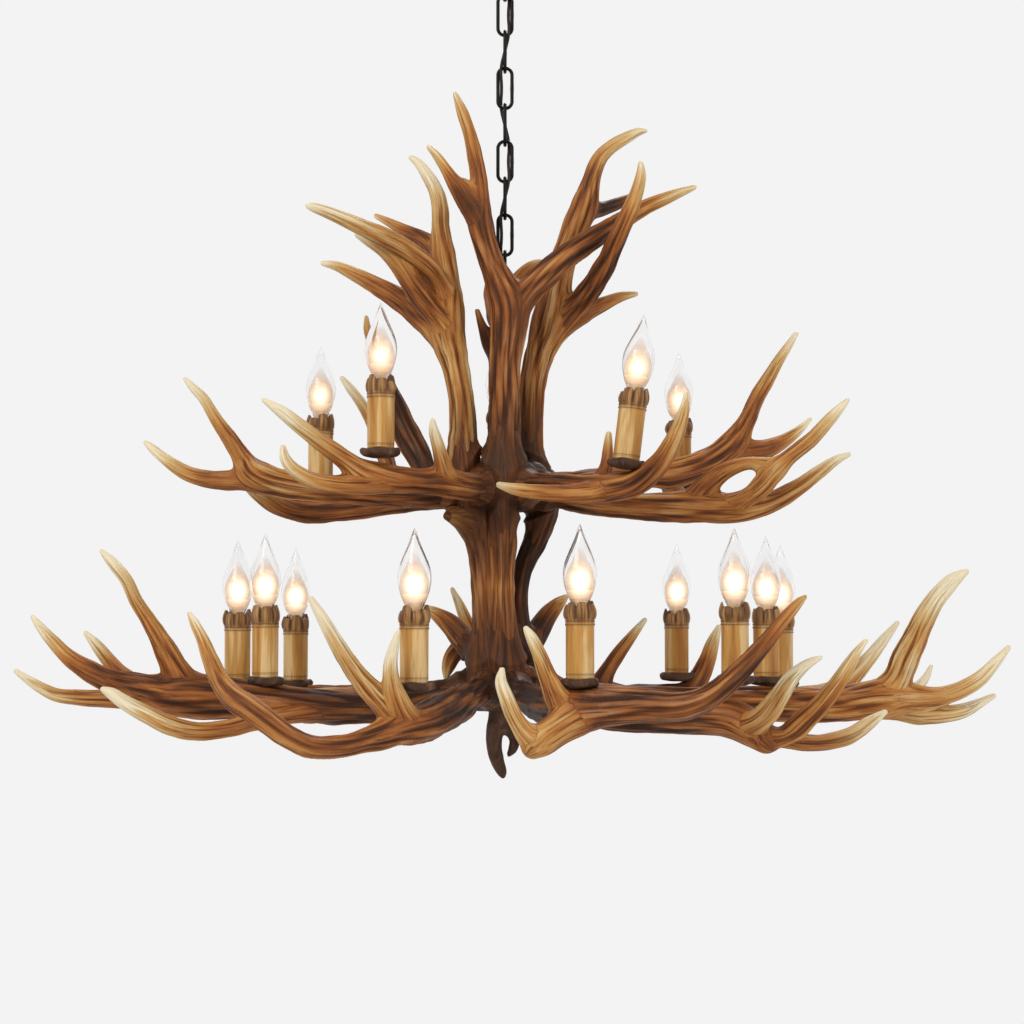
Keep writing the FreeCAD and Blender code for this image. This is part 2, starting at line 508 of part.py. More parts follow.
def make_bar_screws():
    screws = []
    for side in (-1, 1):
        x = side * bar_hole_spacing / 2
        head = Part.makeCylinder(screw_head_radius, screw_head_height,
                                 Vector(x, 0, -bar_thickness - screw_head_height))
        shank = Part.makeCylinder(screw_shank_radius, bar_thickness,
                                  Vector(x, 0, -bar_thickness))
        thread = Part.makeCylinder(screw_thread_radius, screw_above_ceiling, Vector(x, 0, 0))
        slot = Part.makeBox(2 * screw_head_radius, screw_slot_width, screw_slot_depth,
                            Vector(x - screw_head_radius, -screw_slot_width / 2,
                                   -bar_thickness - screw_head_height))
        screws.append(head.fuse(shank).fuse(thread).cut(slot))
    return Part.Compound(screws)


def make_canopy_loop():
    stem = Part.makeCylinder(stem_radius, stem_top - loop_neck_top, Vector(0, 0, loop_neck_top))
    neck_bottom = loop_neck_top - loop_neck_height
    neck = turned([(0, loop_neck_top), (loop_neck_radius, loop_neck_top),
                   (loop_neck_radius, neck_bottom + loop_neck_taper),
                   (stem_radius, neck_bottom - neck_sink), (0, neck_bottom - neck_sink)])
    eye = ring(loop_ring_radius, loop_wire_radius, ring_centre, Vector(1, 0, 0))
    body = stem.fuse(neck).fuse(eye)
    bore_bottom = ring_centre + wire_exit_height
    return body.cut(Part.makeCylinder(stem_bore_radius, stem_top - bore_bottom,
                                      Vector(0, 0, bore_bottom)))


def make_canopy_collar():
    return tube(collar_radius, stem_radius + thread_clearance, loop_neck_top, collar_top)


# ---------------------------------------------------------------- supply cord
def cord_points():
    """Out of the canopy loop, round through every link in turn, into the hanger loop."""
    corner = cord_corner_offset
    cross = cord_cross_offset
    points = [(0.0, 0.0, loop_neck_top + 24), (0.5, -0.2, loop_neck_top + 2),
              (0.0, 0.3, loop_neck_top - 17), (1.5, 2.6, ring_centre + 1)]
    corners = [(corner, corner), (corner, -corner), (-corner, -corner), (-corner, corner)]
    crossings = [(cross, 0), (0, -cross), (-cross, 0), (0, cross)]
    for index in range(link_count):
        middle = first_link - index * link_pitch
        x, y = corners[index % 4]
        points.append((x, y, middle + link_pitch / 2))
        x, y = crossings[index % 4]
        points.append((x, y, middle))
    x, y = corners[link_count % 4]
    points.append((x, y, last_link - link_pitch / 2))
    points.append((0.22 * x, 0.22 * y, hanger_centre - 4))
    points.append((0.0, 0.2, hanger_centre - loop_ring_radius - 4))
    points.append((0.4, 0.0, hanger_centre - loop_ring_radius - 22))
    return [Vector(*point) for point in points]


def rounded_path(points):
    """Straight runs joined by arcs that touch both; prints each arc's radius."""
    edges = []
    radii = []
    start = points[0]
    for before, corner, after in zip(points, points[1:], points[2:]):
        back = before - corner
        on = after - corner
        shorter = min(back.Length, on.Length)
        trim = 0.45 * shorter
        back.normalize()
        on.normalize()
        half_turn = (math.pi - back.getAngle(on)) / 2
        radius = trim / math.tan(half_turn)
        radii.append(round(radius))
        first = corner + back * trim
        final = corner + on * trim
        inward = back + on
        inward.normalize()
        middle = corner + inward * (radius / math.cos(half_turn) - radius)
        edges.append(Part.LineSegment(start, first).toShape())
        edges.append(Part.Arc(first, middle, final).toShape())
        start = final
    edges.append(Part.LineSegment(start, points[-1]).toShape())
    print("cord radii", radii)
    return Part.Wire(edges)


def make_supply_cord():
    points = cord_points()
    path = rounded_path(points)
    section = Part.Wire(Part.Circle(points[0], points[1] - points[0], cord_radius).toShape())
    cord = path.makePipeShell([section], True, False)
    expected = math.pi * cord_radius ** 2 * path.Length
    print("cord length", round(path.Length), "volume share", round(cord.Volume / expected, 4))
    return cord


# ---------------------------------------------------------------- core
def make_hanger_loop():
    neck_bottom = hanger_neck_top - hanger_neck_height
    neck_top = hanger_neck_top + neck_sink
    neck = turned([(0, neck_top), (rod_radius, neck_top),
                   (loop_neck_radius, hanger_neck_top - hanger_neck_taper),
                   (loop_neck_radius, neck_bottom),
                   (0, neck_bottom)])
    eye = ring(loop_ring_radius, loop_wire_radius, 0, Vector(0, 1, 0))
    body = neck.fuse(eye)
    body = body.cut(Part.makeCylinder(rod_radius + thread_clearance, rod_top - neck_bottom,
                                      Vector(0, 0, neck_bottom)))
    bore_top = hanger_neck_top + wire_exit_height
    return body.cut(Part.makeCylinder(stem_bore_radius, bore_top - neck_bottom,
                                      Vector(0, 0, neck_bottom)))


def make_hanger_rod():
    return tube(rod_radius, rod_bore_radius, rod_bottom, rod_top)


def hub_solid(middle, radius, height):
    hub = Part.makeCylinder(radius, height, Vector(0, 0, middle - height / 2))
    edges = [edge for edge in hub.Edges if edge.Closed]
    return hub.makeFillet(hub_edge_radius, edges)


def hub_bore():
    return Part.makeCylinder(rod_radius + hub_bore_clearance, rod_top - rod_bottom,
                             Vector(0, 0, rod_bottom))


def make_rod_nuts():
    nuts = []
    radius = nut_flats / math.sqrt(3)
    for bottom in (upper_hub_middle + upper_hub_height / 2, lower_hub_middle + lower_hub_height / 2,
                   finial_top):
        corners = [Vector(radius * math.cos(math.radians(60 * turn)),
                          radius * math.sin(math.radians(60 * turn)), bottom) for turn in range(6)]
        nut = Part.Face(Part.makePolygon(corners + corners[:1])).extrude(Vector(0, 0, nut_height))
        nuts.append(nut.cut(Part.makeCylinder(rod_radius + thread_clearance, nut_height,
                                              Vector(0, 0, bottom))))
    return Part.Compound(nuts)


def make_finial():
    cap = turned([(0, finial_top), (finial_radius, finial_top),
                  (finial_radius - finial_taper, finial_top - finial_cap_height),
                  (0, finial_top - finial_cap_height)])
    for line in finial_lines:
        cap = cap.fuse(line_solid(line))
    above = Part.makeCylinder(3 * finial_radius, 3 * finial_radius, Vector(0, 0, finial_top))
    cap = cap.cut(above)
    return cap.cut(Part.makeCylinder(rod_radius + thread_clearance, finial_thread_depth + 1,
                                     Vector(0, 0, finial_top - finial_thread_depth - 1)))


# ---------------------------------------------------------------- candle lights
def pan_solid(stem_depth):
    seat = sleeve_radius + pan_seat_clearance
    cup = turned([(0, -pan_height), (pan_radius - pan_foot_inset, -pan_height),
                  (pan_radius, -pan_height / 2), (pan_radius, pan_lip),
                  (seat + pan_seat_slope, pan_lip), (seat, 0), (0, 0)])
    return cup.fuse(Part.makeCylinder(pan_stem_radius, stem_depth, Vector(0, 0, -stem_depth)))


def sleeve_solid():
    top = sleeve_height
    drip = sleeve_height - drip_height
    collar = drip_radius - drip_collar_inset
    groove = drip + drip_collar_height + drip_groove_height
    return turned([(sleeve_bore_radius, 0), (sleeve_radius, 0), (sleeve_radius, drip - drip_groove_height),
                   (collar, drip), (collar, drip + drip_collar_height),
                   (drip_radius - drip_groove_inset, groove), (drip_radius, top - drip_edge_height),
                   (drip_radius - drip_edge, top), (sleeve_bore_radius, top)])


def socket_solid():
    body = Part.makeCylinder(socket_radius, socket_height)
    bore_bottom = socket_height - socket_bore_depth
    return body.cut(Part.makeCylinder(socket_bore_radius, socket_bore_depth, Vector(0, 0, bore_bottom)))


def bulb_solids():
    """Flame shaped glass shell, its cap and a filament ring inside."""
    seat = socket_height - socket_bore_depth + bulb_seat_gap
    cap_top = seat + bulb_cap_height
    wall = bulb_glass_wall
    outer = [Vector(bulb_glass_radius * wide, 0, cap_top + bulb_glass_height * high)
             for high, wide in bulb_outline]
    inner = [Vector(point.x - wall, 0, point.z + (wall if index == 0 else 0))
             for index, point in enumerate(outer[:-1])]
    tip_out = Vector(0, 0, cap_top + bulb_glass_height)
    tip_in = Vector(0, 0, (outer[-1].z + outer[-2].z) / 2)
    shells = []
    for points, tip in ((outer, tip_out), (inner, tip_in)):
        curve = Part.BSplineCurve()
        curve.interpolate(points + [tip])
        foot = Vector(0, 0, points[0].z)
        edges = [curve.toShape(), Part.LineSegment(tip, foot).toShape(),
                 Part.LineSegment(foot, points[0]).toShape()]
        shells.append(Part.Face(Part.Wire(edges)).revolve(Vector(0, 0, 0), Vector(0, 0, 1), 360))
    glass = shells[0].cut(shells[1])
    cap = turned([(0, seat), (bulb_contact_radius, seat), (bulb_cap_radius, seat + bulb_cap_taper),
                  (bulb_cap_radius, cap_top), (0, cap_top)])
    post_top = cap_top + bulb_glass_height * filament_height_share
    foot = cap_top + wall
    post = Part.makeCylinder(filament_post_radius, post_top - foot, Vector(0, 0, foot))
    coil = Part.makeTorus(filament_ring_radius, filament_wire_radius, Vector(0, 0, post_top), Vector(0, 0, 1))
    width = filament_carrier_width
    carrier = Part.makeBox(2 * filament_ring_radius, width, width,
                           Vector(-filament_ring_radius, -width / 2, post_top - width / 2))
    return Part.Compound([glass, cap, post.fuse(carrier).fuse(coil)])


def place_light(shape, light):
    x, y, z, lean, stem_depth = light
    return hung(moved(shape, x, y, z, lean))


# ---------------------------------------------------------------- make and save everything
save(make_canopy(), "canopy")
save(make_mounting_bar(), "mounting_bar")
save(make_bar_screws(), "bar_screws")
save(make_canopy_loop(), "canopy_loop")
save(make_canopy_collar(), "canopy_collar")
for index in range(link_count):
    save(link(first_link - index * link_pitch, index % 2 == 1), "chain_link_%d" % (index + 1))
save(make_supply_cord(), "supply_cord")

bore = hub_bore()
upper_hub = hub_solid(upper_hub_middle, upper_hub_radius, upper_hub_height)
lower_hub = hub_solid(lower_hub_middle, lower_hub_radius, lower_hub_height)
save(hung(make_hanger_loop()), "hanger_loop")
save(hung(make_hanger_rod()), "hanger_rod")
save(hung(make_rod_nuts()), "rod_nuts")
save(hung(upper_hub.cut(bore)), "upper_hub")
save(hung(lower_hub.cut(bore)), "lower_hub")
save(hung(make_finial()), "finial")

pans = [moved(pan_solid(stem_depth), x, y, z, lean) for x, y, z, lean, stem_depth in lights]
nuts = make_rod_nuts()
cutters = [upper_hub, lower_hub, nuts] + pans
finished = {}
for name, lines in antler_lines.items():
    antler = line_solid(lines[0])
    for line in lines[1:]:
        antler = antler.fuse(line_solid(line))
    for cutter in cutters + list(finished.values()):
        if near(antler, cutter):
            antler = antler.cut(cutter)
    finished[name] = max(antler.Solids, key=lambda solid: solid.Volume)
    save(hung(finished[name]), name)

save(Part.Compound([hung(pan) for pan in pans]), "candle_pans")
save(Part.Compound([place_light(sleeve_solid(), light) for light in lights]), "candle_sleeves")
save(Part.Compound([place_light(socket_solid(), light) for light in lights]), "lamp_sockets")
for index, light in enumerate(lights):
    save(place_light(bulb_solids(), light), "bulb_%d" % (index + 1))
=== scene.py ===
import math

import bmesh
import bpy
import numpy as np
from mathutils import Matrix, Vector


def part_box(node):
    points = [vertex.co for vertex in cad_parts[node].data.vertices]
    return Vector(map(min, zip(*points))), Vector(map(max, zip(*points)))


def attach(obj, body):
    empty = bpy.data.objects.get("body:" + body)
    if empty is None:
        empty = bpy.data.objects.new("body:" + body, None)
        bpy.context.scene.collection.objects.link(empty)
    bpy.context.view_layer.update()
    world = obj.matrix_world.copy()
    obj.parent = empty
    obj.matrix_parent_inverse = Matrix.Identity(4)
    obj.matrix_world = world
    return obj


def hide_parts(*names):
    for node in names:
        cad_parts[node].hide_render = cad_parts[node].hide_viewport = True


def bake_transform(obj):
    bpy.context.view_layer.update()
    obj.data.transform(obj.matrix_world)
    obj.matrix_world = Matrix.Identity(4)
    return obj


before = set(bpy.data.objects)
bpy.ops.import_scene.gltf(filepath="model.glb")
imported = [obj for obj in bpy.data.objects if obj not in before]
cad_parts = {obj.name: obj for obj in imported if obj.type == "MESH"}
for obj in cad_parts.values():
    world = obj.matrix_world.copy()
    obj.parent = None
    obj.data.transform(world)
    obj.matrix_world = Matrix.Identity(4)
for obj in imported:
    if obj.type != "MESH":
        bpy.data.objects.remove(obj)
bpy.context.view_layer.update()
mm = 0.001
core = "chandelier"  # the body that carries everything below the chain
ringOutside = 15.5 * mm  # outer radius of the ring on top of the chandelier
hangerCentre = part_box("hanger_loop")[1][2] - ringOutside  # height of that ring's middle


# camera, lamps and the room: seen from the front, at the height of the lower lights
cameraValues = {
    "eye": (0.008, -2.6, -0.7915),
    "aim": (0.008, 0.0, -0.6695),
    "lens": 80.98,
    "sensorWidth": 36.0,
    "farEnd": 60.0,
}
roomValues = {
    "floorHeight": -1.75,
    "halfWidth": 9.0,
    "colour": (0.895, 0.895, 0.895),
}
lampValues = {
    "key": {"place": (-1.6, -2.6, 1.1), "size": 1.8, "power": 62.0, "colour": (1.0, 0.98, 0.95)},
    "fill": {"place": (2.4, -1.8, 0.1), "size": 2.2, "power": 26.0, "colour": (1.0, 0.99, 0.97)},
    "back": {"place": (0.6, 2.0, 1.4), "size": 0.5, "power": 24.0, "colour": (1.0, 1.0, 1.0)},
}
worldValues = {"strength": 0.55, "colour": (0.95, 0.96, 1.0)}


def makeCamera():
    data = bpy.data.cameras.new("camera")
    data.lens = cameraValues["lens"]
    data.sensor_width = cameraValues["sensorWidth"]
    data.clip_end = cameraValues["farEnd"]
    camera = bpy.data.objects.new("camera", data)
    bpy.context.scene.collection.objects.link(camera)
    eye = Vector(cameraValues["eye"])
    camera.location = eye
    camera.rotation_euler = (Vector(cameraValues["aim"]) - eye).to_track_quat("-Z", "Y").to_euler()
    bpy.context.scene.camera = camera
    print("camera made")


makeCamera()


# tools for surfaces: every shape is a grid of points worked out as whole arrays
def shadeSmooth(mesh):
    mesh.polygons.foreach_set("use_smooth", np.full(len(mesh.polygons), True))
    mesh.update()


def meshFromArrays(name, points, faces):
    mesh = bpy.data.meshes.new(name)
    mesh.from_pydata(points.tolist(), [], faces.tolist() if isinstance(faces, np.ndarray) else faces)
    shadeSmooth(mesh)
    piece = bpy.data.objects.new(name, mesh)
    bpy.context.scene.collection.objects.link(piece)
    return piece


# Quads of a grid whose columns close into a ring: row i and i+1, column j and j+1.
def gridFaces(rows, columns):
    i, j = np.meshgrid(np.arange(rows - 1), np.arange(columns), indexing="ij")
    here = i * columns + j
    beside = i * columns + (j + 1) % columns
    return np.stack([here, beside, beside + columns, here + columns], -1).reshape(-1, 4)


# Profile of (radius, height) rows turned about Z: x = r cos a, y = r sin a, z = height.
# ripple(angle, radius, height) returns what is added to radius and height.
def turnedGrid(profile, columns, ripple=None):
    profile = np.asarray(profile, float)
    angle = np.linspace(0, 2 * np.pi, columns, endpoint=False)
    radius = np.repeat(profile[:, :1], columns, 1)
    height = np.repeat(profile[:, 1:2], columns, 1)
    if ripple:
        moreRadius, moreHeight = ripple(angle[None, :], radius, height)
        radius = radius + moreRadius
        height = height + moreHeight
    points = np.stack([radius * np.cos(angle), radius * np.sin(angle), height], -1).reshape(-1, 3)
    return points, gridFaces(len(profile), columns)


# Catmull-Rom curve through the rows of points: cubic between each pair, all columns alike.
def splineThrough(points, perSpan):
    p = np.asarray(points, float)
    p = np.vstack([2 * p[0] - p[1], p, 2 * p[-1] - p[-2]])
    t = np.linspace(0, 1, perSpan, endpoint=False)[None, :, None]
    a, b, c, d = p[:-3, None], p[1:-2, None], p[2:-1, None], p[3:, None]
    curve = 2 * b + (c - a) * t + (2 * a - 5 * b + 4 * c - d) * t ** 2
    curve = 0.5 * (curve + (3 * b - a - 3 * c + d) * t ** 3)
    return np.vstack([curve.reshape(-1, p.shape[1]), p[-2:-1]])


# Unit tangent, and two unit vectors square to it, along a curve.
# The first of them leans to the normal of the plane that the curve lies nearest to.
def lineFrames(centre):
    tangent = np.gradient(centre, axis=0)
    tangent /= np.linalg.norm(tangent, axis=1, keepdims=True)
    spread = centre - centre.mean(0)
    normal = np.linalg.svd(spread, full_matrices=False)[2][2]
    side = normal - (tangent @ normal)[:, None] * tangent
    side /= np.linalg.norm(side, axis=1, keepdims=True)
    return tangent, side, np.cross(tangent, side)


# Rings of points round a line, one above the other: centre + r (cos a side + sin a across).
def ringsAlong(centre, side, across, radius, columns):
    angle = np.linspace(0, 2 * np.pi, columns, endpoint=False)[None, :, None]
    ring = np.cos(angle) * side[:, None] + np.sin(angle) * across[:, None]
    return (centre[:, None] + radius[:, None, None] * ring).reshape(-1, 3)


# A round section of the given radius carried along centre, with rounded ends.
def tubeGrid(centre, radius, columns):
    tangent, side, across = lineFrames(centre)
    rounding = np.array([0.0, 0.3, 0.55, 0.75, 0.9])  # share of the end radius along the axis
    startBack = (1 - rounding)[:, None] * radius[0]
    startRing = np.sqrt(1 - (1 - rounding) ** 2) * radius[0]
    endBack = (1 - rounding[::-1])[:, None] * radius[-1]
    endRing = np.sqrt(1 - (1 - rounding[::-1]) ** 2) * radius[-1]
    centre = np.vstack([centre[0] - startBack * tangent[0], centre, centre[-1] + endBack * tangent[-1]])
    radius = np.concatenate([startRing, radius, endRing])
    count = len(rounding)
    side = np.vstack([np.repeat(side[:1], count, 0), side, np.repeat(side[-1:], count, 0)])
    across = np.vstack([np.repeat(across[:1], count, 0), across, np.repeat(across[-1:], count, 0)])
    return ringsAlong(centre, side, across, radius, columns), gridFaces(len(centre), columns)


# How far each point of a line lies from its start, along the line.
def distanceAlong(line):
    return np.concatenate([[0], np.cumsum(np.linalg.norm(np.diff(line, axis=0), axis=1))])


def readPoints(mesh):
    points = np.empty(len(mesh.vertices) * 3)
    mesh.vertices.foreach_get("co", points)
    return points.reshape(-1, 3)


def readNormals(mesh):
    normals = np.empty(len(mesh.vertices) * 3)
    mesh.vertex_normals.foreach_get("vector", normals)
    return normals.reshape(-1, 3)


def setAttribute(piece, name, values):
    kind = "FLOAT_VECTOR" if values.ndim == 2 else "FLOAT"
    attribute = piece.data.attributes.new(name, kind, "POINT")
    attribute.data.foreach_set("vector" if values.ndim == 2 else "value", values.astype(np.float32).ravel())


# Merges points that lie on each other, such as the ring at a pole; turnOut also turns faces outwards.
def closeDoubles(piece, reach=1e-6, turnOut=True):
    work = bmesh.new()
    work.from_mesh(piece.data)
    bmesh.ops.remove_doubles(work, verts=work.verts, dist=reach)
    bmesh.ops.dissolve_degenerate(work, edges=work.edges, dist=reach)
    if turnOut:
        bmesh.ops.recalc_face_normals(work, faces=work.faces)
    work.to_mesh(piece.data)
    work.free()
    shadeSmooth(piece.data)


# Replaces the mesh by what its modifiers give.
def bakedModifiers(piece):
    graph = bpy.context.evaluated_depsgraph_get()
    mesh = bpy.data.meshes.new_from_object(piece.evaluated_get(graph))
    piece.modifiers.clear()
    old = piece.data
    piece.data = mesh
    bpy.data.meshes.remove(old)
    mesh.name = piece.name


# Soft noise: sine waves in random directions, four at each of three sizes: sin(2 pi p . way / size).
def smoothWaves(points, wave, seed):
    random = np.random.default_rng(seed)
    total = np.zeros(len(points))
    for size in (1.0, 0.62, 0.41):
        way = random.normal(size=(4, 3))
        way /= np.linalg.norm(way, axis=1, keepdims=True)
        phase = random.uniform(0, 2 * np.pi, 4)
        total += size * np.sin(points @ way.T * (2 * np.pi / (wave * size)) + phase).mean(1)
    return total / 2.0


# Puts the finish on a piece, hangs it on the empty of the body that carries it, and hides the CAD parts it
# stands for.
def dress(piece, body, slot, material, *nodes):
    piece.data.materials.clear()
    piece.data.materials.append(material)
    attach(piece, body)
    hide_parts(*nodes)


# antlers: the same lines as in the part's source: X, Y, Z and radius in millimetres from the middle of the
# ring on top of the chandelier. The first line of each antler is its beam, the others its tines.
antlerLines = {}
antlerLines["lower_antler_front_left"] = [
    [(-14, -30, -439, 14), (-33, -80, -445, 15.5), (-55, -160, -456, 19), (-81, -235, -468, 19.5),
     (-107, -275, -474, 16), (-135, -300, -482, 12.5), (-162, -315, -488, 11), (-189, -325, -488, 11),
     (-210, -330, -479, 11.5), (-230, -330, -465, 12), (-250, -325, -451, 12.5),
     (-269, -315, -439, 12), (-282, -305, -423, 10), (-293, -295, -403, 8.5), (-302, -285, -384, 6.5),
     (-312, -275, -367, 5), (-318, -270, -357, 2.5)],
    [(-93, -260, -467, 14), (-104, -285, -448, 11), (-111, -295, -427, 8.5), (-113, -300, -407, 7),
     (-109, -305, -389, 5), (-105, -308, -375, 2.5)],
    [(-112, -280, -460, 13), (-134, -290, -435, 11), (-152, -295, -411, 9.5), (-166, -300, -388, 8),
     (-181, -305, -361, 6), (-192, -310, -342, 3)],
]
antlerLines["lower_antler_front_right"] = [
    [(6, -32, -439, 14), (20, -85, -445, 15), (39, -160, -452, 18), (59, -225, -454, 19.5),
     (87, -265, -452, 20), (116, -280, -451, 17), (146, -285, -450, 15), (176, -285, -451, 14),
     (202, -280, -443, 12.5), (226, -275, -426, 11), (246, -270, -406, 10), (265, -262, -386, 8.5),
     (284, -255, -364, 7), (299, -250, -347, 5), (307, -247, -340, 2.5)],
    [(87, -262, -456, 18), (61, -270, -469, 17), (41, -278, -482, 15), (29, -283, -492, 10)],
    [(39, -280, -486, 12), (22, -286, -477, 10), (10, -290, -459, 8.5), (2, -292, -440, 7.5),
     (-3, -293, -425, 6), (-2, -294, -413, 3)],
    [(69, -250, -457, 14), (55, -262, -442, 12.5), (44, -268, -420, 9.5), (36, -273, -399, 7.5),
     (28, -277, -382, 6), (22, -280, -372, 3)],
]
antlerLines["lower_antler_left"] = [
    [(-34, -4, -440, 14.5), (-73, -14, -448, 16), (-122, -40, -459, 16.5), (-176, -55, -460, 16.5),
     (-225, -65, -456, 17.5), (-267, -75, -451, 19.5), (-311, -80, -448, 23), (-343, -85, -446, 24),
     (-369, -88, -445, 20.5), (-396, -90, -439, 16.5), (-423, -92, -432, 13.5),
     (-448, -94, -420, 11.5), (-472, -95, -405, 9), (-491, -96, -386, 7), (-504, -97, -371, 5),
     (-512, -98, -360, 2.5)],
    [(-343, -85, -442, 22), (-360, -90, -412, 15), (-374, -94, -385, 10.5), (-387, -98, -363, 8.5),
     (-400, -101, -342, 7.5), (-410, -104, -320, 7), (-425, -107, -301, 6), (-436, -109, -289, 2.5)],
    [(-393, -78, -437, 11), (-420, -66, -423, 9.5), (-436, -62, -407, 8), (-449, -58, -392, 6.5),
     (-462, -55, -378, 3)],
    [(-187, -52, -459, 14.5), (-247, -10, -453, 14.5), (-300, 15, -452, 14.5), (-358, 25, -453, 13.5),
     (-410, 30, -454, 12), (-451, 35, -453, 10.5), (-485, 38, -452, 9), (-512, 40, -449, 8),
     (-534, 42, -439, 6.5), (-550, 43, -429, 4.5), (-560, 44, -422, 3)],
    [(-192, -62, -464, 10), (-233, -90, -468, 10), (-269, -110, -473, 9.5), (-299, -125, -480, 9.5),
     (-330, -135, -482, 10), (-358, -140, -475, 10.5), (-382, -142, -463, 9.5), (-404, -143, -451, 8),
     (-417, -144, -442, 6.5), (-427, -145, -437, 3)],
]
antlerLines["lower_antler_back_left"] = [
    [(-25, 25, -441, 14), (-75, 72, -449, 15.5), (-129, 95, -454, 16.5), (-183, 125, -458, 16.5),
     (-238, 150, -459, 18), (-289, 180, -462, 17), (-330, 215, -468, 14.5), (-372, 260, -470, 12.5),
     (-409, 300, -464, 10), (-439, 335, -455, 7), (-459, 360, -448, 3)],
    [(-257, 160, -460, 13), (-252, 230, -476, 11), (-239, 300, -484, 9.5), (-219, 360, -481, 7),
     (-202, 400, -472, 3)],
    [(-246, 165, -456, 12), (-253, 215, -427, 9), (-260, 240, -398, 7.5), (-264, 255, -373, 3)],
    [(-171, 115, -456, 10.5), (-199, 95, -451, 9), (-222, 80, -449, 6)],
]
antlerLines["lower_antler_back"] = [
    [(-2, 35, -441, 14.5), (-4, 120, -447, 16), (-9, 200, -453, 17), (-3, 280, -458, 17.5),
     (8, 350, -463, 15.5), (18, 410, -462, 12.5), (24, 460, -456, 8.5), (25, 490, -448, 3.5)],
    [(-6, 175, -450, 12), (-19, 195, -424, 11), (-33, 205, -394, 9.5), (-47, 212, -366, 8),
     (-56, 217, -345, 6), (-65, 222, -326, 3)],
    [(-7, 250, -457, 12.5), (-32, 310, -464, 11.5), (-65, 370, -469, 9.5), (-93, 420, -468, 7),
     (-111, 450, -462, 3.5)],
]
antlerLines["lower_antler_back_right"] = [
    [(26, 24, -441, 14), (66, 74, -447, 15.5), (112, 140, -454, 16.5), (162, 185, -459, 17),
     (207, 215, -461, 18.5), (246, 250, -465, 15.5), (281, 290, -466, 12.5), (312, 330, -462, 9.5),
     (337, 365, -455, 6.5), (352, 385, -449, 3)],
    [(216, 222, -461, 14.5), (232, 232, -443, 13), (246, 242, -419, 11), (255, 250, -394, 8.5),
     (264, 256, -372, 3.5)],
    [(107, 132, -451, 12), (117, 138, -430, 10), (134, 146, -405, 8.5), (150, 152, -384, 6.5),
     (167, 158, -363, 3)],
    [(163, 195, -463, 13.5), (167, 270, -475, 12), (184, 340, -483, 10), (207, 400, -480, 7),
     (222, 430, -472, 3.5)],
]
antlerLines["lower_antler_right"] = [
    [(34, 2, -440, 14.5), (84, -6, -449, 16.5), (151, -20, -455, 17), (218, -25, -457, 18),
     (273, -25, -457, 19), (329, -25, -458, 19), (373, -30, -457, 19), (411, -35, -452, 20),
     (444, -38, -450, 14.5), (477, -40, -449, 11), (504, -42, -441, 9.5), (526, -44, -428, 8.5),
     (544, -46, -409, 6), (557, -48, -394, 3)],
    [(417, -35, -449, 20), (435, -40, -428, 17), (444, -45, -405, 15), (453, -48, -386, 13.5),
     (463, -52, -363, 12), (476, -55, -341, 11), (491, -58, -323, 9), (502, -60, -314, 6),
     (509, -61, -310, 3)],
    [(423, -30, -461, 14.5), (457, -28, -468, 11), (485, -26, -469, 9.5), (510, -24, -465, 8.5),
     (530, -22, -456, 5.5), (546, -20, -448, 3)],
    [(183, -16, -460, 12.5), (209, 14, -462, 14), (237, 44, -462, 15), (282, 82, -460, 15),
     (328, 105, -459, 16.5), (365, 118, -455, 14), (393, 125, -445, 12), (414, 132, -428, 10),
     (433, 138, -407, 8.5), (450, 143, -387, 6.5), (467, 147, -367, 3)],
    [(361, 118, -457, 12), (409, 140, -462, 10.5), (454, 160, -459, 9.5), (486, 172, -450, 8),
     (504, 180, -436, 5.5), (514, 186, -419, 2.5)],
]
antlerLines["lower_antler_right_front"] = [
    [(25, -22, -439, 13.5), (61, -62, -453, 15.5), (114, -110, -465, 16), (160, -140, -466, 17),
     (207, -160, -465, 19), (242, -172, -468, 20), (265, -182, -482, 14.5), (273, -188, -492, 9.5)],
    [(251, -185, -474, 13.5), (269, -205, -463, 12.5), (283, -212, -444, 10.5), (295, -218, -425, 8.5),
     (308, -222, -412, 6), (319, -225, -405, 4), (326, -227, -402, 2)],
    [(269, -185, -487, 11.5), (293, -190, -484, 11.5), (313, -192, -468, 11.5), (332, -194, -449, 10),
     (346, -196, -431, 9), (358, -198, -412, 7.5), (367, -199, -397, 5), (376, -200, -385, 2.5)],
    [(258, -170, -481, 9.5), (297, -150, -491, 9), (336, -135, -494, 9), (369, -120, -488, 9),
     (392, -108, -475, 7.5), (412, -98, -463, 3)],
]
antlerLines["upper_antler_left"] = [
    [(-36, -10, -215, 14.5), (-73, -28, -222, 15.5), (-116, -48, -224, 14), (-171, -60, -221, 14),
     (-220, -68, -217, 15), (-258, -72, -210, 15.5), (-278, -75, -201, 14.5), (-287, -77, -188, 11),
     (-301, -82, -166, 9), (-315, -88, -145, 7), (-328, -93, -123, 6), (-339, -97, -111, 5),
     (-348, -100, -101, 2.5)],
    [(-267, -73, -210, 12), (-291, -70, -210, 11), (-319, -66, -209, 10), (-342, -62, -205, 9),
     (-361, -59, -196, 8), (-379, -56, -183, 6), (-390, -54, -174, 5), (-398, -52, -167, 3)],
    [(-64, -26, -226, 10), (-82, -12, -230, 10.5), (-113, 0, -232, 10), (-159, 6, -237, 11),
     (-198, 8, -241, 11.5), (-230, 5, -242, 11), (-254, -5, -236, 10.5), (-271, -22, -225, 9.5),
     (-281, -42, -216, 8), (-283, -58, -209, 5.5)],
]
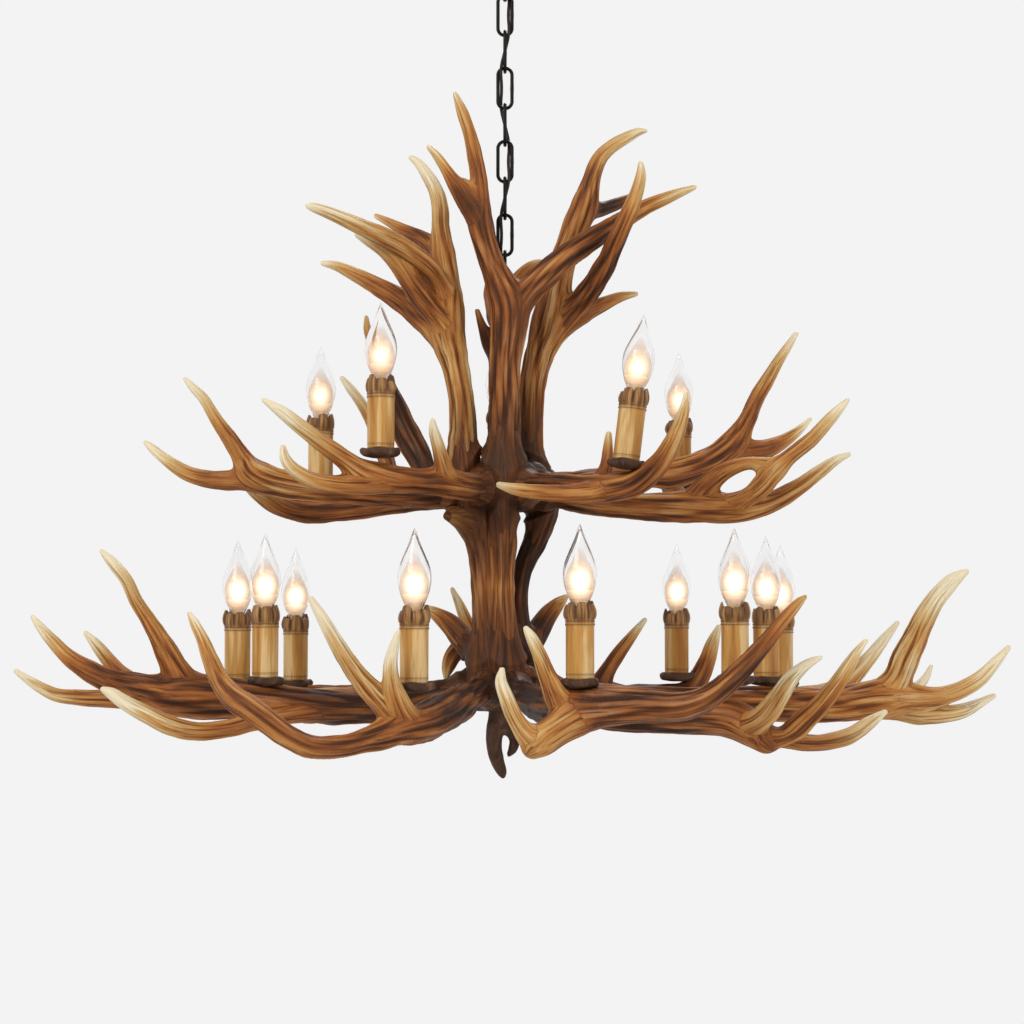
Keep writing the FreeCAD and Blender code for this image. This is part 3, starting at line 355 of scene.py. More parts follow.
antlerLines["upper_antler_front_left"] = [
    [(-14, -22, -217, 13.5), (-26, -50, -216, 14.5), (-44, -86, -217, 15), (-70, -115, -214, 14),
     (-96, -135, -214, 12.5), (-127, -150, -211, 13), (-153, -162, -203, 11), (-172, -172, -191, 10),
     (-194, -185, -176, 9), (-214, -197, -161, 8), (-233, -206, -146, 6.5), (-250, -213, -135, 2.5)],
    [(-112, -145, -217, 9.5), (-143, -160, -221, 9.5), (-174, -170, -221, 9), (-200, -178, -217, 8.5),
     (-218, -185, -208, 7.5), (-229, -190, -196, 6), (-232, -193, -183, 3)],
    [(-59, -112, -212, 9.5), (-66, -135, -194, 8.5), (-71, -150, -177, 7), (-75, -160, -163, 5.5),
     (-76, -168, -152, 2.5)],
]
antlerLines["upper_antler_back_left"] = [
    [(-24, 24, -213, 14.5), (-64, 54, -211, 15), (-104, 62, -213, 14), (-151, 75, -216, 13),
     (-193, 87, -220, 13), (-235, 100, -220, 13), (-267, 125, -213, 11.5), (-292, 155, -202, 9.5),
     (-309, 185, -189, 6.5), (-320, 205, -178, 3)],
    [(-87, 55, -202, 16), (-101, 68, -173, 16.5), (-117, 80, -142, 14.5), (-128, 92, -115, 12.5),
     (-138, 102, -91, 10), (-148, 114, -62, 8.5), (-157, 124, -37, 6.5), (-164, 132, -18, 5),
     (-166, 138, -2, 2.5)],
    [(-128, 68, -210, 10.5), (-139, 95, -176, 10), (-156, 124, -132, 8.5), (-172, 140, -105, 6.5),
     (-186, 150, -86, 5.5), (-196, 156, -73, 3)],
    [(-205, 92, -220, 9.5), (-204, 150, -220, 9.5), (-196, 210, -215, 8.5), (-191, 260, -204, 6),
     (-188, 290, -196, 3)],
]
antlerLines["upper_antler_front_right"] = [
    [(15, -27, -216, 14), (41, -72, -216, 13.5), (76, -105, -219, 12.5), (108, -130, -222, 13),
     (138, -151, -218, 13.5), (160, -170, -202, 11.5), (177, -184, -176, 9.5), (187, -193, -149, 6.5),
     (190, -199, -127, 2.5)],
    [(115, -138, -222, 9.5), (91, -138, -228, 10), (62, -132, -228, 9.5), (36, -122, -226, 8.5),
     (11, -112, -222, 6.5), (-6, -105, -217, 3.5)],
    [(103, -120, -217, 8.5), (110, -112, -197, 7), (112, -108, -177, 5.5), (113, -106, -162, 3.5)],
]
antlerLines["upper_antler_right"] = [
    [(33, -4, -215, 14.5), (64, -14, -224, 14), (106, -40, -233, 14), (150, -48, -237, 14.5),
     (194, -54, -239, 16), (232, -58, -241, 15), (265, -58, -240, 14), (296, -55, -232, 11.5),
     (324, -50, -217, 9.5), (348, -45, -200, 8), (368, -41, -186, 5.5), (383, -38, -179, 3)],
    [(240, -60, -237, 10), (264, -75, -229, 10), (282, -82, -216, 11), (292, -86, -204, 10.5),
     (309, -92, -187, 8.5), (334, -98, -167, 8), (352, -103, -147, 7), (364, -107, -134, 5),
     (372, -110, -125, 2.5)],
    [(205, -55, -233, 14.5), (224, -60, -213, 12), (246, -66, -198, 9), (268, -72, -191, 7),
     (286, -80, -194, 7.5), (299, -88, -198, 5.5)],
]
antlerLines["upper_antler_back_right"] = [
    [(27, 22, -213, 14.5), (69, 50, -208, 14), (116, 68, -201, 13.5), (163, 80, -196, 13.5),
     (205, 92, -189, 16), (241, 102, -176, 15.5), (268, 112, -155, 14), (286, 120, -127, 10.5),
     (298, 128, -102, 9), (312, 133, -78, 8.5), (327, 138, -53, 6.5), (339, 142, -35, 5),
     (348, 145, -21, 3)],
    [(268, 116, -165, 14), (302, 125, -162, 12), (327, 132, -153, 9), (347, 138, -140, 6),
     (364, 143, -124, 2.5)],
    [(191, 90, -200, 14), (200, 122, -214, 13), (215, 165, -221, 11.5), (235, 220, -214, 10),
     (252, 268, -199, 7.5), (263, 300, -185, 3)],
]
antlerLines["upper_antler_back"] = [
    [(-2, 38, -212, 14.5), (-3, 110, -209, 15.5), (-7, 190, -210, 16), (-1, 260, -204, 14.5),
     (12, 320, -193, 11.5), (25, 370, -178, 8), (31, 400, -165, 3.5)],
    [(-6, 170, -209, 11), (-38, 235, -207, 10.5), (-70, 285, -199, 9), (-96, 325, -187, 6.5),
     (-113, 350, -176, 3)],
]
antlerLines["crown_antler_left"] = [
    [(-46, -15, -208, 18), (-48, -15, -178, 17.5), (-47, -14, -150, 15), (-48, -13, -121, 14),
     (-52, -12, -93, 14), (-57, -12, -68, 15), (-63, -12, -42, 17), (-63, -12, -14, 16),
     (-63, -10, 15, 12), (-68, -6, 50, 11.5), (-73, 0, 82, 10), (-74, 6, 106, 9.5),
     (-79, 12, 127, 8.5), (-91, 18, 149, 7), (-101, 22, 162, 5), (-108, 24, 167, 3)],
    [(-71, -2, 49, 10), (-92, 20, 71, 9), (-115, 38, 85, 7.5), (-136, 52, 98, 5), (-150, 60, 106, 3)],
    [(-64, -15, -5, 12.5), (-74, -30, 18, 10.5), (-89, -48, 35, 10), (-114, -70, 50, 10.5),
     (-139, -92, 59, 10), (-166, -112, 68, 8.5), (-189, -128, 76, 7), (-204, -138, 80, 5.5),
     (-212, -143, 81, 2.5)],
    [(-66, -20, -35, 14.5), (-89, -35, -8, 13), (-106, -48, 13, 11), (-119, -58, 31, 9.5),
     (-134, -66, 46, 8), (-151, -72, 55, 5.5), (-163, -76, 61, 3)],
    [(-63, -10, -57, 16), (-91, 0, -26, 14), (-117, 12, -1, 12.5), (-146, 25, 19, 10.5),
     (-173, 36, 34, 8), (-194, 45, 45, 6), (-211, 50, 49, 3)],
    [(-66, 2, -18, 11.5), (-86, 30, 15, 10.5), (-101, 50, 39, 9.5), (-113, 65, 59, 6),
     (-120, 72, 70, 3)],
]
antlerLines["crown_antler_front"] = [
    [(-1, -32, -210, 19), (-1, -33, -179, 18.5), (-1, -34, -151, 17.5), (0, -35, -124, 17),
     (0, -35, -95, 17), (1, -35, -67, 17), (4, -36, -39, 19), (4, -37, -13, 20), (-4, -38, 10, 17),
     (-13, -38, 32, 14), (-21, -38, 56, 12.5), (-27, -38, 78, 12.5), (-28, -36, 107, 9.5),
     (-29, -33, 132, 9), (-34, -30, 159, 8.5), (-40, -27, 185, 7.5), (-48, -24, 209, 6.5),
     (-56, -22, 230, 3)],
    [(-26, -40, 75, 10.5), (-39, -46, 94, 9.5), (-52, -52, 115, 8.5), (-64, -57, 135, 6.5),
     (-75, -61, 151, 5), (-84, -64, 161, 3)],
    [(-30, -38, 102, 6.5), (-40, -43, 118, 5), (-46, -46, 124, 3.5)],
    [(6, -38, -31, 17), (21, -38, -4, 16), (43, -36, 20, 14.5), (67, -32, 42, 13.5),
     (91, -20, 61, 12.5), (113, -8, 77, 11.5), (137, 2, 93, 10.5), (160, 8, 107, 9),
     (182, 12, 117, 7.5), (200, 16, 125, 5.5), (217, 20, 132, 3)],
]
antlerLines["crown_antler_right"] = [
    [(29, 25, -204, 16), (29, 26, -175, 15), (30, 27, -146, 13.5), (31, 28, -118, 13.5),
     (33, 29, -89, 14.5), (39, 30, -60, 16), (48, 31, -33, 19.5), (55, 32, -5, 19.5), (61, 33, 24, 16),
     (68, 34, 50, 14.5), (76, 35, 74, 14.5), (85, 35, 97, 14.5), (93, 35, 120, 13.5),
     (99, 35, 143, 10.5), (108, 36, 167, 9), (122, 38, 182, 8), (139, 41, 193, 7), (154, 44, 201, 5),
     (163, 46, 203, 2.5)],
    [(91, 38, 104, 10.5), (112, 55, 113, 8.5), (132, 72, 123, 7), (149, 86, 133, 4.5),
     (160, 95, 139, 2.5)],
    [(61, 30, -25, 18.5), (83, 18, -4, 15), (99, 0, 14, 12.5), (113, -20, 37, 11.5),
     (124, -38, 60, 10.5), (136, -50, 85, 9.5), (146, -57, 109, 8), (151, -61, 129, 6),
     (151, -63, 143, 3)],
    [(67, 32, -25, 16), (92, 36, -10, 11.5), (113, 40, 0, 8.5), (133, 44, 9, 6), (151, 47, 13, 3)],
]
antlerLines["crown_antler_back"] = [
    [(-4, 48, -205, 15), (-4, 52, -167, 14.5), (-4, 55, -132, 14), (-4, 58, -97, 14),
     (-4, 62, -62, 14.5), (-1, 66, -27, 15), (5, 72, 3, 14), (14, 80, 28, 11.5), (26, 90, 45, 9.5),
     (37, 100, 55, 6.5), (49, 108, 60, 3)],
    [(-9, 62, -53, 9.5), (-20, 58, -42, 6.5), (-26, 52, -26, 5), (-32, 46, -7, 3)],
    [(-2, 68, -36, 13), (-12, 105, 0, 11), (-16, 135, 30, 9.5), (-12, 160, 56, 7), (-8, 175, 70, 3)],
]
antlerLines["trunk_antler_front"] = [
    [(-30, -18, -229, 19), (-29, -20, -251, 18), (-27, -22, -280, 15.5), (-24, -23, -308, 14),
     (-23, -23, -341, 13.5), (-22, -22, -369, 14.5), (-20, -20, -397, 17), (-17, -18, -422, 17)],
    [(-2, -35, -230, 18), (-1, -36, -258, 15.5), (-1, -37, -286, 13.5), (-1, -37, -313, 11.5),
     (-1, -36, -341, 11.5), (0, -34, -369, 13.5), (2, -30, -397, 15.5), (2, -28, -421, 15.5)],
    [(-29, -19, -260, 14.5), (-46, -32, -252, 11), (-63, -44, -248, 5.5)],
    [(-26, -8, -404, 14), (-45, 8, -388, 13.5), (-61, 20, -370, 12), (-76, 30, -358, 8.5),
     (-92, 40, -349, 3.5)],
]
antlerLines["trunk_antler_right"] = [
    [(31, 22, -218, 15), (43, 22, -236, 15), (41, 20, -254, 15), (33, 18, -275, 13),
     (24, 15, -295, 11.5), (18, 12, -318, 10), (16, 10, -346, 10), (17, 8, -375, 12.5),
     (18, 13, -397, 13.5), (17, 14, -422, 13.5)],
    [(18, 12, -403, 14.5), (34, 32, -382, 13.5), (47, 42, -361, 11.5), (59, 50, -347, 8.5),
     (70, 56, -337, 3.5)],
]
antlerLines["trunk_antler_back"] = [
    [(-17, 25, -227, 16), (-15, 28, -261, 14.5), (-13, 30, -301, 12.5), (-10, 30, -341, 12.5),
     (-9, 28, -381, 14), (-8, 25, -423, 15)],
    [(-24, 34, -398, 12.5), (-45, 50, -392, 11), (-59, 58, -403, 10), (-65, 58, -416, 8),
     (-68, 56, -428, 3.5)],
]

antlerValues = {
    "voxel": 2.0,             # size of the cells that join beam and tines into one skin
    "melting": 3,             # rounds of smoothing after that
    "perSpan": 8,             # steps of the curve between two points of a line
    "columns": 22,
    "thinnest": 1.2,
    "blend": 5.5,             # how far forks are filled, as the smooth union's k
    "settling": 4,            # rounds in which the skin settles on the smooth union
    "longestStep": 3.0,       # how far a point may move in one of them
    "leastSlope": 0.15,       # the square of the slope is taken as no less than this
    "block": 8000,            # points that are worked out at once
    "buried": 0.62,           # share of its radius that a tine has where it starts inside the beam
    "swollen": 0.22,          # share of its length after which a tine has its full radius
    "ridgeHeight": 1.5,       # the long ridges that run along the beam
    "ridgeCounts": (5, 11),   # how many broad and narrow ones go round
    "ridgeWander": (67.0, 61.0),
    "ridgeFade": 110.0,       # the ridges fade over this distance towards a tip
    "creaseCalm": 0.85,       # share of the ridges that a crease takes away
    "creaseReach": 6.0,
    "lumpHeight": 1.3,
    "lumpLength": 38.0,
    "hubRadius": 45.0,
    "rootReach": 80.0,        # how far the dark stain spreads from the hubs
    "lowerBeamShade": -0.4,
    "shadeScatter": 0.12,     # how much antlers differ from each other in shade
    "shadeReach": 5.0,        # how softly the shade of one line melts into the next
    "tipReach": 105.0,        # how far the pale tip reaches down a long tine
    "shortTipReach": 35.0,
    "tipShare": 0.6,          # the same as a share of the line's length, between those two
    "paleRadius": 9.0,        # a line that ends thicker than this has no pale tip
    "paleOver": 4.0,
    "grainApart": 400.0,      # the grain of each line starts this much further on
    "grainTurn": 37.0,        # and that of each antler this much
}
hubPlaces = ((0.0, 0.0, -212.0), (0.0, 0.0, -440.0))
# How much lighter (+) or darker (-) one line is than its neighbours, by antler and line number.
lineShades = {
    ("crown_antler_left", 1): -0.35, ("crown_antler_left", 2): 0.25, ("crown_antler_left", 5): -0.4,
    ("lower_antler_front_right", 2): 0.35, ("lower_antler_right_front", 1): 0.3,
    ("upper_antler_front_left", 2): 0.35, ("upper_antler_front_left", 0): -0.1,
    ("upper_antler_back_left", 1): -0.45, ("upper_antler_back_left", 2): 0.3,
    ("lower_antler_left", 4): 0.25, ("lower_antler_front_left", 1): 0.3,
    ("lower_antler_front_left", 2): 0.25, ("crown_antler_right", 1): -0.4,
    ("lower_antler_right", 4): 0.2, ("upper_antler_front_right", 1): 0.3,
    ("crown_antler_back", 1): -0.5, ("crown_antler_back", 0): -0.35,
    ("crown_antler_left", 0): 0.55, ("crown_antler_right", 0): 0.25, ("trunk_antler_front", 0): -0.15,
    ("trunk_antler_right", 0): -0.35, ("trunk_antler_back", 0): -0.35,
    ("trunk_antler_front", 2): -0.9, ("lower_antler_front_right", 0): -0.75,
}


# Smooth curves through the lines; a tine swells from a thinner start, so its root leaves no ball.
def antlerCurves(lines):
    v = antlerValues
    curves = []
    for number, line in enumerate(lines):
        curve = splineThrough(line, v["perSpan"])
        curve[:, 3] = np.maximum(curve[:, 3], v["thinnest"])
        if number:
            share = np.linspace(0, 1, len(curve))
            curve[:, 3] *= v["buried"] + (1 - v["buried"]) * np.clip(share / v["swollen"], 0, 1)
        curves.append(curve)
    return curves


# All lines as round tapering tubes in one mesh, joined into one skin.
def antlerShell(name, curves):
    points, faces, start = [], [], 0
    columns = antlerValues["columns"]
    for curve in curves:
        tube, quads = tubeGrid(curve[:, :3], curve[:, 3], columns)
        rows = len(tube) // columns
        points.append(tube)
        faces += (quads + start).tolist()
        faces.append(list(range(start, start + columns))[::-1])
        faces.append(list(range(start + (rows - 1) * columns, start + rows * columns)))
        start += len(tube)
    piece = meshFromArrays(name, np.vstack(points), faces)
    remesh = piece.modifiers.new("join", "REMESH")
    remesh.mode = "VOXEL"
    remesh.voxel_size = antlerValues["voxel"]
    soften = piece.modifiers.new("soften", "SMOOTH")
    soften.factor = 0.5
    soften.iterations = antlerValues["melting"]
    bakedModifiers(piece)
    return piece


# Signed distance from points to one tapering tube, the unit way from its centre line, and where
# along it that is: the nearest of the two spans beside the nearest centre, centre = a + t (b - a).
def distanceTo(points, curve):
    centre, radius = curve[:, :3], curve[:, 3]
    step = np.linalg.norm(np.diff(centre, axis=0), axis=1)
    along = distanceAlong(centre)
    best = np.full(len(points), 1e9)
    way = np.zeros((len(points), 3))
    where = np.zeros(len(points))
    block = antlerValues["block"]
    for first in range(0, len(points), block):
        part = slice(first, first + block)
        at = (np.linalg.norm(points[part, None] - centre[None], axis=2) - radius).argmin(1)
        for shift in (-1, 0):
            one = np.clip(at + shift, 0, len(centre) - 2)
            span = centre[one + 1] - centre[one]
            t = ((points[part] - centre[one]) * span).sum(1) / np.maximum((span ** 2).sum(1), 1e-9)
            t = np.clip(t, 0, 1)
            away = points[part] - centre[one] - t[:, None] * span
            length = np.maximum(np.linalg.norm(away, axis=1), 1e-6)
            gap = length - (radius[one] + t * (radius[one + 1] - radius[one]))
            better = np.where(gap < best[part])[0]
            rows = better + first
            best[rows] = gap[better]
            way[rows] = away[better] / length[better, None]
            where[rows] = (along[one] + t * step[one])[better]
    return best, way, where


# Smooth union: f = -k ln(sum of exp(-d / k)). Points are moved along its slope until f is zero.
def settleOnUnion(points, curves, k, rounds):
    for _ in range(rounds):
        gaps, ways = [], []
        for curve in curves:
            gap, way, _ = distanceTo(points, curve)
            gaps.append(gap)
            ways.append(way)
        gaps, ways = np.array(gaps), np.array(ways)
        least = gaps.min(0)
        share = np.exp(-(gaps - least) / k)
        total = share.sum(0)
        f = least - k * np.log(total)
        slope = (share[..., None] * ways).sum(0) / total[:, None]
        size = np.maximum((slope ** 2).sum(1), antlerValues["leastSlope"])
        move = -(f / size)[:, None] * slope
        length = np.linalg.norm(move, axis=1, keepdims=True)
        points = points + move * np.minimum(1.0, antlerValues["longestStep"] / np.maximum(length, 1e-9))
    return points


# For each point the line whose skin is nearest, and where it lies on it. Paleness and shade melt from
# one line into the next, as the mean that is weighted by exp(-gap / reach).
def nearestOnLines(points, name, curves):
    v = antlerValues
    best = np.full(len(points), 1e9)
    second = np.full(len(points), 1e9)
    place = {key: np.zeros(len(points)) for key in ("along", "left", "radius", "number")}
    gaps, pales, shades = [], [], []
    around = np.zeros((len(points), 2))
    for number, curve in enumerate(curves):
        centre, radius = curve[:, :3], curve[:, 3]
        _, side, across = lineFrames(centre)
        along = distanceAlong(centre)
        gap, way, where = distanceTo(points, curve)
        nearer = gap < best
        second = np.where(nearer, best, np.minimum(second, gap))
        rows = np.where(nearer)[0]
        best[rows] = gap[rows]
        at = np.clip(np.searchsorted(along, where[rows]), 0, len(along) - 1)
        around[rows, 0] = (way[rows] * side[at]).sum(1)
        around[rows, 1] = (way[rows] * across[at]).sum(1)
        place["along"][rows] = where[rows]
        place["left"][rows] = along[-1] - where[rows]
        place["radius"][rows] = np.interp(where[rows], along, radius)
        place["number"][rows] = number
        reach = np.clip(v["tipShare"] * along[-1], v["shortTipReach"], v["tipReach"])
        blunt = np.clip((v["paleRadius"] - radius[-3]) / v["paleOver"], 0, 1)
        gaps.append(gap)
        pales.append(blunt * np.clip(1 - (along[-1] - where) / reach, 0, 1) ** 1.5)
        usual = v["lowerBeamShade"] if number == 0 and name.startswith("lower") else 0.0
        shades.append(np.full(len(points), lineShades.get((name, number), usual)))
    weight = np.exp(-(np.array(gaps) - best) / v["shadeReach"])
    place["pale"] = (weight * pales).sum(0) / weight.sum(0)
    place["shade"] = (weight * shades).sum(0) / weight.sum(0)
    place["angle"] = np.arctan2(around[:, 1], around[:, 0])
    place["crease"] = np.exp(-np.maximum(second - best, 0) / v["creaseReach"])
    return place


# Ridges that wander round the beam and fade towards the tips, broad ones and narrow ones. Each wave
# w becomes 1 - 2 ((1 - w) / 2)^2, so that the crests are round and the grooves narrow.
def antlerRelief(place, seed):
    v = antlerValues
    wide, narrow = v["ridgeCounts"]
    angle, along, radius = place["angle"], place["along"], place["radius"]
    broadWander, slimWander = v["ridgeWander"]
    drift = 0.8 * np.sin(along / broadWander + seed + 2.1 * place["number"])
    broad = np.sin(wide * (angle + drift) + 1.7 * place["number"])
    slim = np.sin(narrow * (angle - 0.5 * drift) + along / slimWander + seed)
    broad = (1 - 0.5 * (1 - broad) ** 2) * np.clip((radius - 3.0) / 9.0, 0.0, 1.2)
    slim = (1 - 0.5 * (1 - slim) ** 2) * np.clip((radius - 7.0) / 7.0, 0.0, 1.2)
    fade = np.clip(place["left"] / v["ridgeFade"], 0.0, 1.0) * (1 - v["creaseCalm"] * place["crease"])
    return fade * (0.55 * broad + 0.45 * slim - 0.25)


# From millimetres round the ring on top to metres in the frame.
def toFrame(points):
    placed = points * mm
    placed[:, 2] += hangerCentre
    return placed


# Ridges and lumps pressed into a skin, and what its material needs to know about each place.
def carveSkin(piece, points, name, curves, seed, swell):
    v = antlerValues
    mesh = piece.data
    mesh.vertices.foreach_set("co", points.ravel())
    mesh.update()
    place = nearestOnLines(points, name, curves)
    relief = antlerRelief(place, seed)
    slim = np.clip(place["left"] / 90.0, 0, 1) * np.clip(place["radius"] / 10.0, 0.1, 1)
    lumps = smoothWaves(points, v["lumpLength"], seed) * slim
    height = v["ridgeHeight"] * relief + v["lumpHeight"] * lumps + swell
    points = points + readNormals(mesh) * height[:, None]
    fromHub = np.min([np.linalg.norm(points - np.array(hub), axis=1) for hub in hubPlaces], axis=0)
    root = np.clip(1.0 - (fromHub - v["hubRadius"]) / v["rootReach"], 0, 1)
    turn = place["angle"]
    width = 6.0 + 0.55 * place["radius"]
    onward = place["along"] + v["grainApart"] * place["number"]
    grain = np.stack([np.cos(turn) * width, np.sin(turn) * width, onward], -1)
    mesh.vertices.foreach_set("co", toFrame(points).ravel())
    shadeSmooth(mesh)
    setAttribute(piece, "grain", (grain + v["grainTurn"] * seed) * mm)
    setAttribute(piece, "root", root)
    setAttribute(piece, "tip", place["pale"])
    setAttribute(piece, "relief", relief * 0.5 + 0.5)
    setAttribute(piece, "crease", place["crease"])
    setAttribute(piece, "shade", place["shade"] + v["shadeScatter"] * math.sin(seed * 2.4))


def makeAntler(name, material):
    curves = antlerCurves(antlerLines[name])
    piece = antlerShell(name + "_skin", curves)
    points = settleOnUnion(readPoints(piece.data), curves, antlerValues["blend"], antlerValues["settling"])
    carveSkin(piece, points, name, curves, 1 + sorted(antlerLines).index(name), 0.0)
    dress(piece, core, "antler_resin", material, name)
    print(name, len(points), "points")


# finishes
def newMaterial(name, roughness=0.5, metallic=0.0):
    material = bpy.data.materials.new(name)
    material.use_nodes = True
    nodes = material.node_tree.nodes
    shader = nodes["Principled BSDF"]
    shader.inputs["Roughness"].default_value = roughness
    shader.inputs["Metallic"].default_value = metallic
    return material, nodes, material.node_tree.links, shader


def addNode(nodes, kind, settings=None, **values):
    node = nodes.new(kind)
    for key, value in (settings or {}).items():
        setattr(node, key, value)
    for key, value in values.items():
        node.inputs[key.replace("_", " ")].default_value = value
    return node


def attributeNode(nodes, name):
    return addNode(nodes, "ShaderNodeAttribute", {"attribute_name": name, "attribute_type": "GEOMETRY"})


def mathNode(nodes, links, operation, first, second=None, clamp=False, third=None):
    node = nodes.new("ShaderNodeMath")
    node.operation = operation
    node.use_clamp = clamp
    for socket, value in zip(node.inputs, (first, second, third)):
        if value is None:
            continue
        if isinstance(value, (int, float)):
            socket.default_value = value
        else:
            links.new(value, socket)
    return node.outputs[0]


# A mask from how far a value is over an edge: (value - edge) steep, kept within 0 and 1.
def above(nodes, links, source, edge, steep):
    over = mathNode(nodes, links, "SUBTRACT", source, edge, True)
    return mathNode(nodes, links, "MULTIPLY", over, steep, True)


# The same from how far it is under the edge: (edge - value) steep.
def below(nodes, links, source, edge, steep):
    under = mathNode(nodes, links, "SUBTRACT", edge, source, True)
    return mathNode(nodes, links, "MULTIPLY", under, steep, True)


def mixColours(nodes, links, share, first, second, blend="MIX"):
    node = nodes.new("ShaderNodeMix")
    node.data_type = "RGBA"
    node.blend_type = blend
    node.clamp_factor = True
    for name, value in (("Factor", share), ("A", first), ("B", second)):
        socket = [one for one in node.inputs if one.name == name and one.type in ("VALUE", "RGBA")]
        socket = [one for one in socket if one.enabled][0]
        if isinstance(value, (int, float)):
            socket.default_value = value
        elif isinstance(value, tuple):
            socket.default_value = value + (1.0,)
        else:
            links.new(value, socket)
    return [one for one in node.outputs if one.type == "RGBA" and one.enabled][0]


def rampNode(nodes, links, share, stops, smooth=True):
    node = nodes.new("ShaderNodeValToRGB")
    ramp = node.color_ramp
    ramp.interpolation = "EASE" if smooth else "LINEAR"
    while len(ramp.elements) < len(stops):
        ramp.elements.new(0.5)
    for element, (place, colour) in zip(ramp.elements, stops):
        element.position = place
        element.color = colour + (1.0,)
    links.new(share, node.inputs["Fac"])
    return node.outputs["Color"]


# Streaks that run along the third axis of Vector, as noise squeezed to long threads:
# a soft mask of broad streaks, one of fine threads, and a height for bumps.
def makeStreakGroup():
    group = bpy.data.node_groups.new("grainStreaks", "ShaderNodeTree")
    face = group.interface
    face.new_socket("Vector", in_out="INPUT", socket_type="NodeSocketVector")
    for name, value in (("Broad Size", 120.0), ("Fine Size", 420.0), ("Length", 0.14), ("Wander", 0.35)):
        face.new_socket(name, in_out="INPUT", socket_type="NodeSocketFloat").default_value = value
    for name in ("Broad", "Fine", "Height"):
        face.new_socket(name, in_out="OUTPUT", socket_type="NodeSocketFloat")
    nodes, links = group.nodes, group.links
    source = nodes.new("NodeGroupInput")
    target = nodes.new("NodeGroupOutput")
    squeeze = nodes.new("ShaderNodeCombineXYZ")
    squeeze.inputs["X"].default_value = 1.0
    squeeze.inputs["Y"].default_value = 1.0
    links.new(source.outputs["Length"], squeeze.inputs["Z"])
    along = addNode(nodes, "ShaderNodeVectorMath", {"operation": "MULTIPLY"})
    links.new(source.outputs["Vector"], along.inputs[0])
    links.new(squeeze.outputs["Vector"], along.inputs[1])
    masks = {}
    for name, detail, rough in (("Broad", 3.0, 0.55), ("Fine", 2.0, 0.6)):
        noise = addNode(nodes, "ShaderNodeTexNoise", Detail=detail, Roughness=rough)
        links.new(along.outputs["Vector"], noise.inputs["Vector"])
        links.new(source.outputs[name + " Size"], noise.inputs["Scale"])
        links.new(source.outputs["Wander"], noise.inputs["Distortion"])
        masks[name] = noise.outputs["Fac"]
        links.new(noise.outputs["Fac"], target.inputs[name])
    height = mathNode(nodes, links, "ADD", mathNode(nodes, links, "MULTIPLY", masks["Broad"], 0.6),
                      mathNode(nodes, links, "MULTIPLY", masks["Fine"], 0.4))
    links.new(height, target.inputs["Height"])
    return group


streakGroup = makeStreakGroup()


# The group set into a material: sizes of its broad and fine streaks, their length and their wander.
def useStreaks(nodes, links, vector, broad, fine, length, wander):
    node = nodes.new("ShaderNodeGroup")
    node.node_tree = streakGroup
    links.new(vector, node.inputs["Vector"])
    for name, value in (("Broad Size", broad), ("Fine Size", fine), ("Length", length), ("Wander", wander)):
        node.inputs[name].default_value = value
    return node


# Noise that lies still in the object; values are the noise's own settings.
def objectNoise(nodes, links, **values):
    noise = addNode(nodes, "ShaderNodeTexNoise", **values)
    links.new(nodes.new("ShaderNodeTexCoord").outputs["Object"], noise.inputs["Vector"])
    return noise.outputs["Fac"]


def addBump(nodes, links, shader, height, strength, distance):
    bump = addNode(nodes, "ShaderNodeBump", Strength=strength, Distance=distance)
    links.new(height, bump.inputs["Height"])
    links.new(bump.outputs["Normal"], shader.inputs["Normal"])
